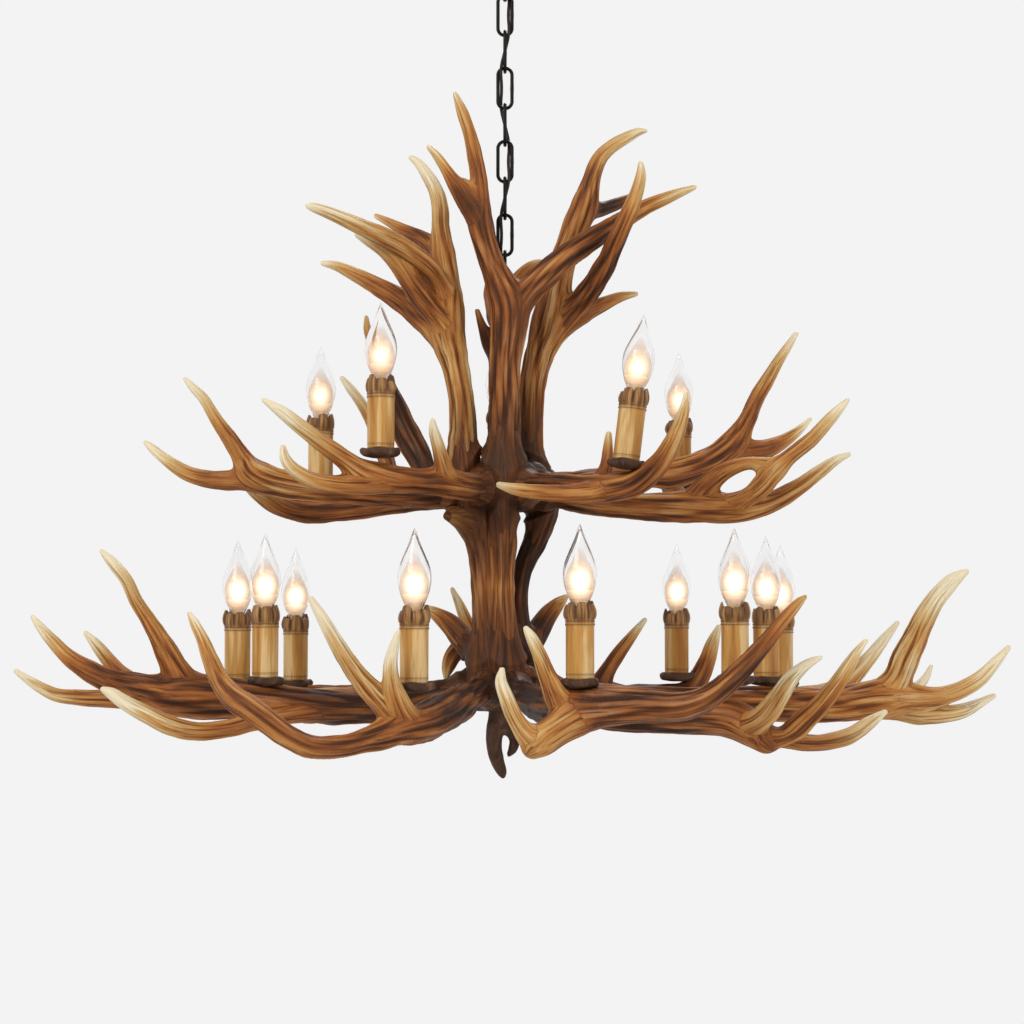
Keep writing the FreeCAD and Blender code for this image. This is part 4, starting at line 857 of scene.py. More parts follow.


# Dark umber roots, rust and golden beams with long dark lines, painted highlight on the crests and painted
# shade in the grooves, ivory tips. The tone runs from 0, dark, to 1, ivory; it rises to the tip, outward and
# on the crests, and falls to the root.
def antlerFinish(name):
    values = {
        "umber": (0.026, 0.011, 0.006),
        "brown": (0.110, 0.036, 0.011),
        "rust": (0.300, 0.096, 0.023),
        "golden": (0.470, 0.210, 0.053),
        "tan": (0.610, 0.405, 0.170),
        "ivory": (0.790, 0.680, 0.460),
        # line: dark lines, and painted shade in the grooves between the ridges
        "line": (0.055, 0.018, 0.006),
        # worn: pale colour of the painted highlight on the crests
        "worn": (0.420, 0.230, 0.125),
        "stain": (0.024, 0.012, 0.007),
        "streaks": (165.0, 520.0, 0.06, 0.5),  # size of broad and fine ones, length, wander
        "threads": (400.0, 800.0, 0.028, 0.3),
    }
    material, nodes, links, shader = newMaterial(name, 0.5)
    shader.inputs["Specular IOR Level"].default_value = 0.14
    grain = attributeNode(nodes, "grain").outputs["Vector"]
    streaks = useStreaks(nodes, links, grain, *values["streaks"])
    threads = useStreaks(nodes, links, grain, *values["threads"])
    root, tip, relief, crease, shade = [attributeNode(nodes, key).outputs["Fac"]
                                        for key in ("root", "tip", "relief", "crease", "shade")]
    broad, fine, long = streaks.outputs["Broad"], streaks.outputs["Fine"], threads.outputs["Broad"]
    cloud = objectNoise(nodes, links, Scale=11.0, Detail=3.0, Roughness=0.55)
    flat = addNode(nodes, "ShaderNodeVectorMath", {"operation": "MULTIPLY"})
    flat.inputs[1].default_value = (1.0, 1.0, 0.0)
    links.new(nodes.new("ShaderNodeTexCoord").outputs["Object"], flat.inputs[0])
    outward = addNode(nodes, "ShaderNodeVectorMath", {"operation": "LENGTH"})
    links.new(flat.outputs["Vector"], outward.inputs[0])

    # Each mask moves the tone by its share of how far it is from its middle.
    def scaled(source, middle, share):
        return mathNode(nodes, links, "MULTIPLY", mathNode(nodes, links, "SUBTRACT", source, middle), share)

    tone = scaled(tip, -0.50, 0.60)
    tone = mathNode(nodes, links, "ADD", tone, above(nodes, links, outward.outputs["Value"], 0.15, 0.8))
    calm = mathNode(nodes, links, "SUBTRACT", 1.0, mathNode(nodes, links, "MULTIPLY", crease, 0.5))
    swing = mathNode(nodes, links, "MULTIPLY", scaled(broad, 0.5, 0.9), calm)
    # The relief's share lightens the crests and darkens the grooves: painted highlight and painted shade.
    for part in (swing, scaled(cloud, 0.5, 0.62), scaled(relief, 0.5, 0.30), scaled(long, 0.5, 0.35),
                 scaled(shade, 0.0, 0.45), scaled(root, 0.0, -0.12)):
        tone = mathNode(nodes, links, "ADD", tone, part)
    colour = rampNode(nodes, links, tone, [
        (0.0, values["umber"]), (0.16, values["brown"]), (0.36, values["rust"]), (0.54, values["golden"]),
        (0.76, values["tan"]), (0.97, values["ivory"])], False)
    dull = mathNode(nodes, links, "SUBTRACT", 1.0, mathNode(nodes, links, "MULTIPLY", tip, 0.8), True)

    def product(first, second, share):
        both = mathNode(nodes, links, "MULTIPLY", first, second)
        return mathNode(nodes, links, "MULTIPLY", both, share)

    # Painted highlight: in patches the ridge crests are mixed towards the pale colour, less towards the tips.
    worn = product(above(nodes, links, relief, 0.52, 3.0), above(nodes, links, cloud, 0.47, 6.0), dull)
    worn = mathNode(nodes, links, "MULTIPLY", worn, 0.4)
    colour = mixColours(nodes, links, worn, colour, values["worn"])
    stain = mathNode(nodes, links, "MULTIPLY", root, above(nodes, links, cloud, 0.30, 3.2))
    colour = mixColours(nodes, links, stain, colour, values["stain"])
    # Painted highlight near the hubs: crests flecked with the same pale colour.
    dry = product(above(nodes, links, relief, 0.55, 2.5), above(nodes, links, fine, 0.52, 5.0), root)
    dry = mathNode(nodes, links, "MULTIPLY", dry, 0.35)
    colour = mixColours(nodes, links, dry, colour, values["worn"])
    # Dark lines where a mask falls below its edge, lost on the tips; the one from the relief is painted shade
    # in the grooves.
    darkLinesAndGrooveShade = ((long, 0.455, 9.0, 0.75), (fine, 0.44, 6.0, 0.5), (relief, 0.36, 3.0, 0.5))
    for source, edge, steep, share in darkLinesAndGrooveShade:
        dark = product(below(nodes, links, source, edge, steep), share, dull)
        colour = mixColours(nodes, links, dark, colour, values["line"])
    links.new(colour, shader.inputs["Base Color"])
    links.new(mathNode(nodes, links, "ADD", scaled(broad, 0.5, 0.3), 0.52), shader.inputs["Roughness"])
    height = mathNode(nodes, links, "ADD", mathNode(nodes, links, "MULTIPLY", long, 0.65),
                      mathNode(nodes, links, "MULTIPLY", fine, 0.35))
    addBump(nodes, links, shader, mathNode(nodes, links, "MULTIPLY", height, dull), 0.6, 0.0022)
    return material


# Rough dark resin with dry grey brushing on its high places.
def darkResinFinish(name):
    values = {
        "pit": (0.020, 0.010, 0.006),
        "body": (0.065, 0.030, 0.016),
        "worn": (0.16, 0.083, 0.045),
        "brushed": (0.15, 0.085, 0.05),
    }
    material, nodes, links, shader = newMaterial(name, 0.62)
    shader.inputs["Specular IOR Level"].default_value = 0.18
    coordinate = nodes.new("ShaderNodeTexCoord").outputs["Object"]
    streaks = useStreaks(nodes, links, coordinate, 60.0, 260.0, 0.45, 0.6)
    colour = rampNode(nodes, links, streaks.outputs["Broad"], [
        (0.25, values["pit"]), (0.5, values["body"]), (0.75, values["worn"])])
    dry = above(nodes, links, streaks.outputs["Fine"], 0.55, 3.0)
    colour = mixColours(nodes, links, dry, colour, values["brushed"])
    links.new(colour, shader.inputs["Base Color"])
    addBump(nodes, links, shader, streaks.outputs["Height"], 0.8, 0.002)
    return material


# the fifteen candle lights: foot of each sleeve (X, Y, Z in mm from the ring on top) and its lean
lightPlaces = [
    (-303, 15, -431, 0),
    (-262, -78, -427, 0),
    (-250, 150, -436, 0),
    (-91, -262, -428, 0),
    (77, -262, -424, 0),
    (209, 214, -429, 0),
    (243, -165, -424, 0),
    (293, -12, -428, 0),
    (323, 105, -434, 0),
    (-3, 285, -433, 0),
    (-216, 88, -202, 0),
    (-132, -150, -182, 0),
    (130, -148, -194, 7),
    (208, 152, -201, 0),
    (-7, 195, -186, 0),
]
sleeveValues = {
    "height": 80.0,
    "radius": 14.5,
    "bore": 12.4,
    "ringHeight": 58.0,    # the double ring under the crown
    "bandTop": 2.6,        # how far the ring reaches above that height
    "petals": 7,
    "shortest": 0.62,      # the shortest petal, as a share of the tallest
    "narrowest": 0.5,      # least and most that a petal swells, as a share of the bulge
    "widest": 1.3,
    "notchDepth": 0.42,    # share of the crown that the notches cut away
    "bulge": 2.1,          # how far the petals swell out before they close round the bulb
    "groove": 1.7,         # how deep the grooves between petals are
    "columns": 144,
}
bulbValues = {
    "foot": 70.4,          # height of the glass above the foot of the sleeve
    "height": 87.8,
    "radius": 17.4,
    "wall": 0.8,
    "columns": 48,
    "heart": 0.34,         # share of the height where the light is brightest
    "heartHeight": 17.0,   # how far up and down, and how far out, the brightness falls off
    "heartRadius": 60.0,
    "coreRadius": 0.88,    # the glowing flame inside, as a share of the glass
    "coreFoot": 2.2,       # how far it starts above the foot of the glass
    "coreHeight": 0.76,    # its height as a share of the glass
    "coreColumns": 40,
    "fadeFrom": 8.0,       # the flame thins out from here above the heart, over the next stretch
    "fadeOver": 26.0,
}
capValues = {
    "foot": 42.5,
    "contact": 2.4,        # radius and height of the contact at its foot
    "contactHeight": 0.7,
    "radius": 6.6,
    "taper": 3.0,
    "threadTop": 66.0,
    "pitch": 2.8,
    "groove": 0.5,
    "rows": 50,
    "columns": 32,
}


# Moves points that are given from the foot of a sleeve to that light: lean about Y, then shift.
def atLight(points, light):
    x, y, z, lean = light
    turn = math.radians(lean)
    c, s = math.cos(turn), math.sin(turn)
    leaned = np.stack([points[:, 0] * c + points[:, 2] * s, points[:, 1],
                       points[:, 2] * c - points[:, 0] * s], -1)
    return toFrame(leaned + (x, y, z))


# A wall turned about Z: up the outside, over the crown and down the bore. Above the ring the height
# is stretched by the petals: tongue = (1 - |u|^3)^0.5, where u runs from -1 to 1 across each petal,
# which swells by sin(0.95 pi h^0.8) up its height h and has a groove on either side.
def sleeveGrid(seed):
    v = sleeveValues
    random = np.random.default_rng(seed)
    columns = v["columns"]
    angle = np.linspace(0, 2 * np.pi, columns, endpoint=False)
    foot = np.array([(v["bore"], 0.0), (v["bore"] + 1, 0.0), (v["radius"] - 0.3, 0.0), (v["radius"], 0.5)])
    wall = np.stack([np.full(12, v["radius"]), np.linspace(2, 6.0, 12)], -1)
    wall[4:7, 0] -= (0.25, 0.4, 0.25)          # thin ring line near the foot
    shaft = np.stack([np.full(14, v["radius"]), np.linspace(8, v["ringHeight"] - 5, 14)], -1)
    band = np.stack([v["radius"] + np.array([0, 0.1, 0.8, 0.9, 0.25, 0.15, 0.7, 0.8, 0.1]),
                     v["ringHeight"] + np.linspace(-4, v["bandTop"], 9)], -1)
    outside = np.vstack([foot, wall, shaft, band])
    crownShare = np.linspace(0, 1, 16)[1:]
    crownFoot = v["ringHeight"] + v["bandTop"]
    crownHeight = v["height"] - crownFoot
    petal = (angle / (2 * np.pi) * v["petals"] + 0.12 * np.sin(angle + random.uniform(0, 6))) % v["petals"]
    number = petal.astype(int) % v["petals"]
    u = 2 * (petal % 1.0) - 1
    tongue = np.sqrt(np.clip(1 - np.abs(u) ** 3, 0, 1))
    tall = random.uniform(v["shortest"], 1.0, v["petals"])
    tall[0] = 1.0
    wide = random.uniform(v["narrowest"], v["widest"], v["petals"])
    reach = (1 - v["notchDepth"]) + (tall[number] - 1 + v["notchDepth"]) * tongue
    share = crownShare[:, None]
    swell = np.sin(0.95 * np.pi * share ** 0.8)
    outer = v["radius"] + 0.3 + v["bulge"] * wide[number] * swell * tongue - 0.9 * share ** 3
    outer = outer - v["groove"] * np.exp(-(1 - np.abs(u)) * 7) * np.minimum(share * 3, 1)
    crownOut = np.stack([outer, crownFoot + crownHeight * reach * share], -1)
    rimOut, rimHigh = crownOut[-1, :, 0], crownOut[-1, :, 1]
    lip = np.stack([np.stack([rimOut - 0.6, rimHigh + 0.25], -1),
                    np.stack([np.maximum(rimOut - 1.6, v["bore"] + 0.1), rimHigh - 0.1], -1)])
    inner = np.stack([np.full(columns, v["bore"]), np.minimum(rimHigh - 2.0, crownFoot + 4)], -1)[None]
    lower = np.repeat(np.array([(v["bore"], 40.0), (v["bore"], 0.0)])[:, None], columns, 1)
    rows = np.concatenate([np.repeat(outside[:, None], columns, 1), crownOut, lip, inner, lower])
    wobble = 0.22 * np.sin(3 * angle + random.uniform(0, 6)) + 0.18 * np.sin(5 * angle + random.uniform(0, 6))
    radius = rows[..., 0] + np.where(rows[..., 0] > v["bore"] + 0.6, wobble[None], 0)
    points = np.stack([radius * np.cos(angle), radius * np.sin(angle), rows[..., 1]], -1).reshape(-1, 3)
    # Closeness to the gap between two petals, for the painted shade in those gaps.
    groove = np.exp(-(1 - np.abs(u)) * 5)
    return (points, gridFaces(len(rows), columns), np.repeat(angle[None], len(rows), 0).ravel(),
            np.repeat(groove[None], len(rows), 0).ravel())


def makeSleeve(number, light, material):
    points, faces, angle, groove = sleeveGrid(40 + number)
    height = points[:, 2] / sleeveValues["height"]
    piece = meshFromArrays(f"candle_sleeve_{number}", atLight(points, light), faces)
    grain = np.stack([np.cos(angle) * 14, np.sin(angle) * 14, points[:, 2] * 0.3 + 300 * number], -1)
    setAttribute(piece, "grain", grain * mm)
    setAttribute(piece, "height", height)
    # Painted shade in the gaps between the petals of the crown.
    setAttribute(piece, "groove", groove * np.clip((height - 0.74) * 20, 0, 1))
    closeDoubles(piece, 1e-7, False)
    dress(piece, core, "candle_resin", material, "candle_sleeves")


# Flame profile: share of the height against share of the widest radius, as a smooth curve.
def flameProfile(perSpan):
    outline = np.array([(0.0, 0.38), (0.06, 0.47), (0.11, 0.58), (0.20, 0.78), (0.30, 0.93), (0.42, 1.0),
                        (0.54, 0.92), (0.65, 0.72), (0.76, 0.48), (0.86, 0.27), (0.95, 0.11), (1.0, 0.0)])
    curve = splineThrough(outline, perSpan)
    curve[:, 1] = np.maximum(curve[:, 1], 0.0)
    return curve


# Outer and inner skin of the glass, the inner one turned inside out.
def bulbGlassGrid():
    v = bulbValues
    curve = flameProfile(5)
    outer = np.stack([curve[:, 1] * v["radius"], v["foot"] + curve[:, 0] * v["height"]], -1)
    outer = np.vstack([(0.0, v["foot"]), outer])
    inner = curve[curve[:, 1] * v["radius"] > 2.2 * v["wall"]]
    inner = np.stack([inner[:, 1] * v["radius"] - v["wall"],
                      v["foot"] + v["wall"] + inner[:, 0] * (v["height"] - 3)], -1)
    inner = np.vstack([(0.0, v["foot"] + v["wall"]), inner, (0.0, inner[-1, 1] + 1.5)])
    outerPoints, outerFaces = turnedGrid(outer, v["columns"])
    innerPoints, innerFaces = turnedGrid(inner, v["columns"])
    innerFaces = innerFaces[:, ::-1] + len(outerPoints)
    return np.vstack([outerPoints, innerPoints]), np.vstack([outerFaces, innerFaces])


# The glowing flame: the glass profile drawn in, from just above its foot over three quarters of it.
def bulbCoreGrid():
    v = bulbValues
    curve = flameProfile(4)
    share = curve[:, 0]
    radius = curve[:, 1] * v["radius"] * v["coreRadius"]
    height = v["foot"] + v["coreFoot"] + share * v["height"] * v["coreHeight"]
    profile = np.stack([radius, height], -1)
    profile = np.vstack([(0.0, profile[0, 1]), profile])
    return turnedGrid(profile, v["coreColumns"])


# Screw cap of a lamp. Its thread is a groove of depth g: g (1 + sin(2 pi h / pitch - a)) / 2 at
# height h and angle a.
def makeCap(number, light, material):
    v = capValues
    shoulder, top = v["foot"] + v["taper"], bulbValues["foot"] - 0.1
    wall = np.stack([np.full(v["rows"], v["radius"]), np.linspace(shoulder, v["threadTop"], v["rows"])], -1)
    profile = np.vstack([(0.0, v["foot"]), (v["contact"], v["foot"]),
                         (v["contact"], v["foot"] + v["contactHeight"]), wall,
                         (v["radius"], top), (0.0, top)])

    def thread(angle, radius, height):
        wave = (1 + np.sin(2 * np.pi * height / v["pitch"] - angle)) / 2
        return -v["groove"] * wave * ((height > shoulder) & (height < v["threadTop"])), 0.0

    points, faces = turnedGrid(profile, v["columns"], thread)
    piece = meshFromArrays(f"bulb_cap_{number}", atLight(points, light), faces)
    closeDoubles(piece, 1e-7, False)
    dress(piece, f"bulb_{number}_body", "screw_steel", material, f"bulb_{number}")


# Glass and flame of a lamp. The flame is lit by exp(-(height / h)^2 - (distance / r)^2) from its heart.
def makeBulb(number, light, glass, glow, warmth):
    v = bulbValues
    body = f"bulb_{number}_body"
    points, faces = bulbGlassGrid()
    shell = meshFromArrays(f"bulb_glass_{number}", atLight(points, light), faces)
    closeDoubles(shell, 1e-7, False)
    dress(shell, body, "bulb_glass", glass, f"bulb_{number}")
    points, faces = bulbCoreGrid()
    flame = meshFromArrays(f"bulb_flame_{number}", atLight(points, light), faces)
    closeDoubles(flame, 1e-7, False)
    heart = atLight(np.array([[0, 0, v["foot"] + v["heart"] * v["height"]]]), light)
    away = (readPoints(flame.data) - heart) / mm
    outward = np.hypot(away[:, 0], away[:, 1])
    lit = np.exp(-((away[:, 2] / v["heartHeight"]) ** 2) - (outward / v["heartRadius"]) ** 2)
    setAttribute(flame, "lit", lit)
    setAttribute(flame, "fading", np.clip((away[:, 2] - v["fadeFrom"]) / v["fadeOver"], 0, 1))
    setAttribute(flame, "warmth", np.full(len(away), warmth))
    dress(flame, body, "bulb_glass", glow, f"bulb_{number}")


# pans: lumpy dark discs under the sleeves, each a bit different
panValues = {"radius": 20.5, "height": 9.0, "dish": 1.4, "columns": 72}


# A disc turned about Z whose rim wanders with the angle and whose face is dished under the sleeve.
def panGrid(seed):
    v = panValues
    random = np.random.default_rng(seed)
    phase = random.uniform(0, 2 * np.pi, 4)
    radius, foot, dish = v["radius"], -v["height"], v["dish"]
    profile = splineThrough([(0.01, foot), (8, foot), (14.5, foot + 1.2), (radius - 0.8, foot / 2 - 1),
                             (radius, -1.2), (radius - 1.8, dish), (16.4, dish - 0.2), (14.9, 0.0),
                             (0.01, 0.0)], 5)

    def wander(angle, radius, height):
        rim = np.clip((radius - 13) / 5, 0, 1)
        swell = np.sin(2 * angle + phase[0]) * 1.1 + np.sin(3 * angle + phase[1]) * 0.8
        swell = swell + 0.5 * np.sin(7 * angle + phase[2] + height / 2)
        return swell * rim, rim * 0.7 * np.sin(4 * angle + phase[3])

    return turnedGrid(profile, v["columns"], wander)


def makePans(material):
    points, faces, start = [], [], 0
    for number, light in enumerate(lightPlaces):
        pan, quads = panGrid(80 + number)
        points.append(atLight(pan, light))
        faces.append(quads + start)
        start += len(pan)
    piece = meshFromArrays("candle_pans_skin", np.vstack(points), np.vstack(faces))
    closeDoubles(piece, 2e-5, False)
    dress(piece, core, "dark_resin", material, "candle_pans")
    print("pans made")


# hubs: two dark burrs that the beams grow out of, and the blunt prongs below them
hubValues = {
    "upper": {"middle": -212.0, "arm": 25.0, "thick": 21.0, "knobSeed": 217, "burrSeed": 12, "skinSeed": 35},
    "lower": {"middle": -440.0, "arm": 27.0, "thick": 17.5, "knobSeed": 445, "burrSeed": 12, "skinSeed": 31},
    "arms": 6,
    "reach": 82.0,       # how far the burr creeps out along each beam
    "start": 1.12,       # its size against the beam's, at the middle and where it ends
    "end": 0.86,
    "blend": 8.0,
    "settling": 3,
    "knobs": 13,
    "knobFoot": 9.0,     # radius of a knob where it starts
    "burrHeight": 1.3,
    "burrLength": 11.0,
}
finialValues = {"blend": 3.0, "settling": 4, "lump": 0.03, "lumpLength": 16.0, "seed": 5}
finialLines = [
    [(0, 0, -459, 17), (-4, 0, -475, 15), (-11, -4, -487, 10), (-12, -6, -505, 8.5),
     (-9, -7, -520, 7.5), (-4, -8, -532, 6), (-2, -8, -538, 3)],
    [(2, 0, -474, 13), (8, -2, -487, 8), (11, -3, -498, 6), (9, -4, -508, 5), (5, -4, -514, 2.5)],
]


# The lines that a burr is grown from: thick arms, the near stretch of every beam and a ring of
# knobs. A beam's stretch shrinks from start to end, so that it sinks below the beam's own skin.
def hubCurves(which):
    v = hubValues
    middle, arm, thick = v[which]["middle"], v[which]["arm"], v[which]["thick"]
    curves = []
    for number in range(v["arms"]):
        angle = number * 2 * math.pi / v["arms"]
        share = np.linspace(0, 1, 9)[:, None]
        end = np.array([arm * math.cos(angle), arm * math.sin(angle), 0.0, 0.0])
        curves.append(np.array([0.0, 0.0, middle, thick]) + share * end)
    for lines in antlerLines.values():
        for curve in antlerCurves(lines):
            away = np.linalg.norm(curve[:, :3] - (0.0, 0.0, middle), axis=1)
            near = np.where(away < v["reach"])[0]
            if len(near) < 4 or away.min() > 0.75 * v["reach"]:
                continue
            stretch = slice(near[0], near[-1] + 1)
            part = curve[stretch].copy()
            share = np.clip(away[stretch] / v["reach"], 0, 1)
            part[:, 3] *= v["start"] + (v["end"] - v["start"]) * share ** 2
            curves.append(part)
    random = np.random.default_rng(v[which]["knobSeed"])
    for number in range(v["knobs"]):
        angle = 2 * math.pi * (number + random.uniform(-0.3, 0.3)) / v["knobs"]
        out = arm + thick - random.uniform(5.0, 9.0)
        high = middle + random.uniform(-0.75, 0.75) * thick
        foot = np.array([0.7 * out * math.cos(angle), 0.7 * out * math.sin(angle), high, v["knobFoot"]])
        end = high + random.uniform(-2, 3)
        top = np.array([out * math.cos(angle), out * math.sin(angle), end, random.uniform(4.5, 7.0)])
        curves.append(foot + np.linspace(0, 1, 6)[:, None] * (top - foot))
    return curves


def makeHub(which, material):
    v = hubValues
    own = v[which]
    curves = hubCurves(which)
    piece = antlerShell(f"{which}_hub_skin", curves)
    points = settleOnUnion(readPoints(piece.data), curves, v["blend"], v["settling"])
    burr = smoothWaves(points, v["burrLength"], own["burrSeed"])
    away = np.linalg.norm(points - (0.0, 0.0, own["middle"]), axis=1)
    swell = v["burrHeight"] * burr * np.clip(1.25 - away / v["reach"], 0, 1)
    carveSkin(piece, points, which, curves, own["skinSeed"], swell)
    dress(piece, core, "dark_resin", material, f"{which}_hub")
    print(which, "hub", len(points), "points")


def makeFinial(material):
    v = finialValues
    curves = antlerCurves(finialLines)
    piece = antlerShell("finial_skin", curves)
    points = settleOnUnion(readPoints(piece.data), curves, v["blend"], v["settling"])
    points[:, :2] *= (1 + v["lump"] * smoothWaves(points, v["lumpLength"], v["seed"]))[:, None]
    piece.data.vertices.foreach_set("co", toFrame(points).ravel())
    shadeSmooth(piece.data)
    dress(piece, core, "dark_resin", material, "finial")
    print("finial made")


# chain: oval links of round wire, each turned a quarter from the one above
linkValues = {
    "count": 8,
    "wire": 2.0,           # radius of the wire
    "weldSwell": 0.105,    # how much thicker it is where its ends are welded
    "columns": 20,
}


# A round section carried along a closed line; rows close into a ring as columns do.
def closedTube(centre, radius, columns):
    ahead = np.roll(centre, -1, axis=0) - np.roll(centre, 1, axis=0)
    tangent = ahead / np.linalg.norm(ahead, axis=1, keepdims=True)
    normal = np.linalg.svd(centre - centre.mean(0), full_matrices=False)[2][2]
    side = np.repeat(normal[None], len(centre), 0)
    points = ringsAlong(centre, side, np.cross(tangent, side), radius, columns)
    return points, gridFaces(len(centre) + 1, columns) % len(points)


# Stadium line: two half rings joined by straight sides. The box of the CAD link gives its size. The
# weld swells the wire by exp(-(x / half a bend)^2 - (z / 1.6 wire)^2) round the middle of one side.
def makeLink(number, material):
    low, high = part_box(f"chain_link_{number}")
    low, high = np.array(low), np.array(high)
    wire = linkValues["wire"] * mm
    size = (high - low) / 2 - wire
    flat = 0 if size[0] > size[1] else 1
    middle = (low + high) / 2
    bend = size[flat]
    straight = size[2] - bend
    turn = np.linspace(0, np.pi, 25)
    upper = np.stack([bend * np.cos(turn), straight + bend * np.sin(turn)], -1)
    side = np.stack([np.full(9, -bend), np.linspace(straight, -straight, 11)[1:-1]], -1)
    line = np.vstack([upper, side, -upper, -side])
    centre = np.zeros((len(line), 3))
    centre[:, flat] = line[:, 0]
    centre[:, 2] = line[:, 1]
    atWeld = np.exp(-(((line[:, 0] - bend) / (0.5 * bend)) ** 2 + (line[:, 1] / (1.6 * wire)) ** 2))
    radius = wire * (1 + linkValues["weldSwell"] * atWeld)
    points, faces = closedTube(centre + middle, radius, linkValues["columns"])
    piece = meshFromArrays(f"link_{number}", points, faces)
    closeDoubles(piece, 1e-7)
    dress(piece, f"chain_link_{number}_body", "chain_black", material, f"chain_link_{number}")


# supply cord: one smooth line woven through the links, made in stretches from the middle of one
# link to the middle of the next
cordValues = {
    "radius": 1.8,
    "corner": 5.3,         # how far it lies beside the chain, in X and in Y, where two links meet
    "cross": 3.4,          # how far it lies from the middle of a link that it crosses
    "loopNeckTop": -44.0,
    "ringRadius": 13.0,    # of both loops, to the middle of their wire
    "ringWire": 2.5,
    "bendReach": 9.0,      # it bends over this distance on either side of a joint
    "columns": 20,
}
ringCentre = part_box("canopy_loop")[0][2] / mm + cordValues["ringWire"] + cordValues["ringRadius"]
linkMiddles = [(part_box(f"chain_link_{n + 1}")[0][2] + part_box(f"chain_link_{n + 1}")[1][2]) / 2 / mm
               for n in range(linkValues["count"])]
linkPitch = linkMiddles[0] - linkMiddles[1]


# Out of the canopy loop, a quarter turn round the chain at each link, into the hanger loop.
def cordRoute():
    corner, cross, neck = cordValues["corner"], cordValues["cross"], cordValues["loopNeckTop"]
    hanger = hangerCentre / mm
    foot = hanger - cordValues["ringRadius"]
    points = [(0.0, 0.0, neck + 24), (0.5, -0.2, neck + 2), (0.0, 0.3, neck - 17), (1.5, 2.6, ringCentre + 1)]
    corners = [(corner, corner), (corner, -corner), (-corner, -corner), (-corner, corner)]
    crossings = [(cross, 0), (0, -cross), (-cross, 0), (0, cross)]
    for number, middle in enumerate(linkMiddles):
        points.append(corners[number % 4] + (middle + linkPitch / 2,))
        points.append(crossings[number % 4] + (middle,))
    x, y = corners[len(linkMiddles) % 4]
    points.append((x, y, linkMiddles[-1] - linkPitch / 2))
    points.append((0.22 * x, 0.22 * y, hanger - 4))
    points.append((0.0, 0.2, foot - 4))
    points.append((0.4, 0.0, foot - 22))
    return np.array(points) * mm


# The points of the NURBS line that has the route as its control points.
def cordLine(route):
    curve = bpy.data.curves.new("cordLine", "CURVE")
    curve.dimensions = "3D"
    spline = curve.splines.new("NURBS")
    spline.points.add(len(route) - 1)
    spline.points.foreach_set("co", np.column_stack([route, np.ones(len(route))]).ravel())
    spline.order_u = 3
    spline.use_endpoint_u = True
    spline.resolution_u = 16
    holder = bpy.data.objects.new("cordLine", curve)
    bpy.context.scene.collection.objects.link(holder)
    bpy.context.view_layer.update()
    mesh = bpy.data.meshes.new_from_object(holder.evaluated_get(bpy.context.evaluated_depsgraph_get()))
    line = readPoints(mesh)
    bpy.data.objects.remove(holder)
    bpy.data.meshes.remove(mesh)
    return line


# A round section carried along an open line, its ends closed flat; one side stays square to Y.
def cordTube(line):
    columns = cordValues["columns"]
    tangent = np.gradient(line, axis=0)
    tangent /= np.linalg.norm(tangent, axis=1, keepdims=True)
    side = np.cross(tangent, (0.0, 1.0, 0.0))
    side /= np.linalg.norm(side, axis=1, keepdims=True)
    radius = np.full(len(line), cordValues["radius"] * mm)
    points = ringsAlong(line, side, np.cross(tangent, side), radius, columns)
    faces = gridFaces(len(line), columns).tolist()
    faces.append(list(range(columns))[::-1])
    faces.append([(len(line) - 1) * columns + column for column in range(columns)])
    return points, faces


def makeCord(material):
    line = cordLine(cordRoute())
    joints = [(middle + linkPitch / 2) * mm for middle in linkMiddles]
    joints.append((linkMiddles[-1] - linkPitch / 2) * mm)
    edges = [1.0] + [middle * mm for middle in linkMiddles] + [-9.0]  # the ends lie far outside the line
    for number, height in enumerate(joints):
        inside = (line[:, 2] <= edges[number] + 1e-9) & (line[:, 2] >= edges[number + 1] - 1e-9)
        part = line[inside]
        if number > 0:
            part = np.vstack([crossingAt(line, edges[number]), part])
        if number + 1 < len(joints):
            part = np.vstack([part, crossingAt(line, edges[number + 1])])
        apart = np.linalg.norm(np.diff(part, axis=0), axis=1) > 1e-5
        part = part[np.concatenate([[True], apart])]
        points, faces = cordTube(part)
        piece = meshFromArrays(f"supply_cord_{number + 1}", points, faces)
        away = distanceAlong(part)
        setAttribute(piece, "along", np.repeat(away, cordValues["columns"]) + number * 0.05)
        piece.data.materials.append(material)
        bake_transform(piece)
        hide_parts("supply_cord")
    print("cord made,", round(float(distanceAlong(line)[-1]), 3), "m in", len(joints), "stretches")


# Where the line passes a height: straight between its two nearest points.
def crossingAt(line, height):
    after = int(np.argmax(line[:, 2] < height))
    one, other = line[after - 1], line[after]
    share = (one[2] - height) / (one[2] - other[2])
    return one + share * (other - one)


# Powder coat or enamel on steel: near black with faint mottling, and worn paler spots.
def blackFinish(name, colour, roughness, wear):
    material, nodes, links, shader = newMaterial(name, roughness)
    shader.inputs["Specular IOR Level"].default_value = 0.12
    mottle = objectNoise(nodes, links, Scale=140.0, Detail=4.0, Roughness=0.6)
    paler = tuple(part * 2.2 + 0.001 for part in colour)
    mixed = mixColours(nodes, links, mottle, colour, paler)
    spots = above(nodes, links, mottle, 0.62, wear)
    mixed = mixColours(nodes, links, spots, mixed, (0.12, 0.105, 0.09))
    links.new(mixed, shader.inputs["Base Color"])
    rough = mathNode(nodes, links, "MULTIPLY_ADD", mottle, 0.25, third=roughness - 0.12)
    links.new(rough, shader.inputs["Roughness"])
    addBump(nodes, links, shader, mottle, 0.25, 0.0004)
    return material


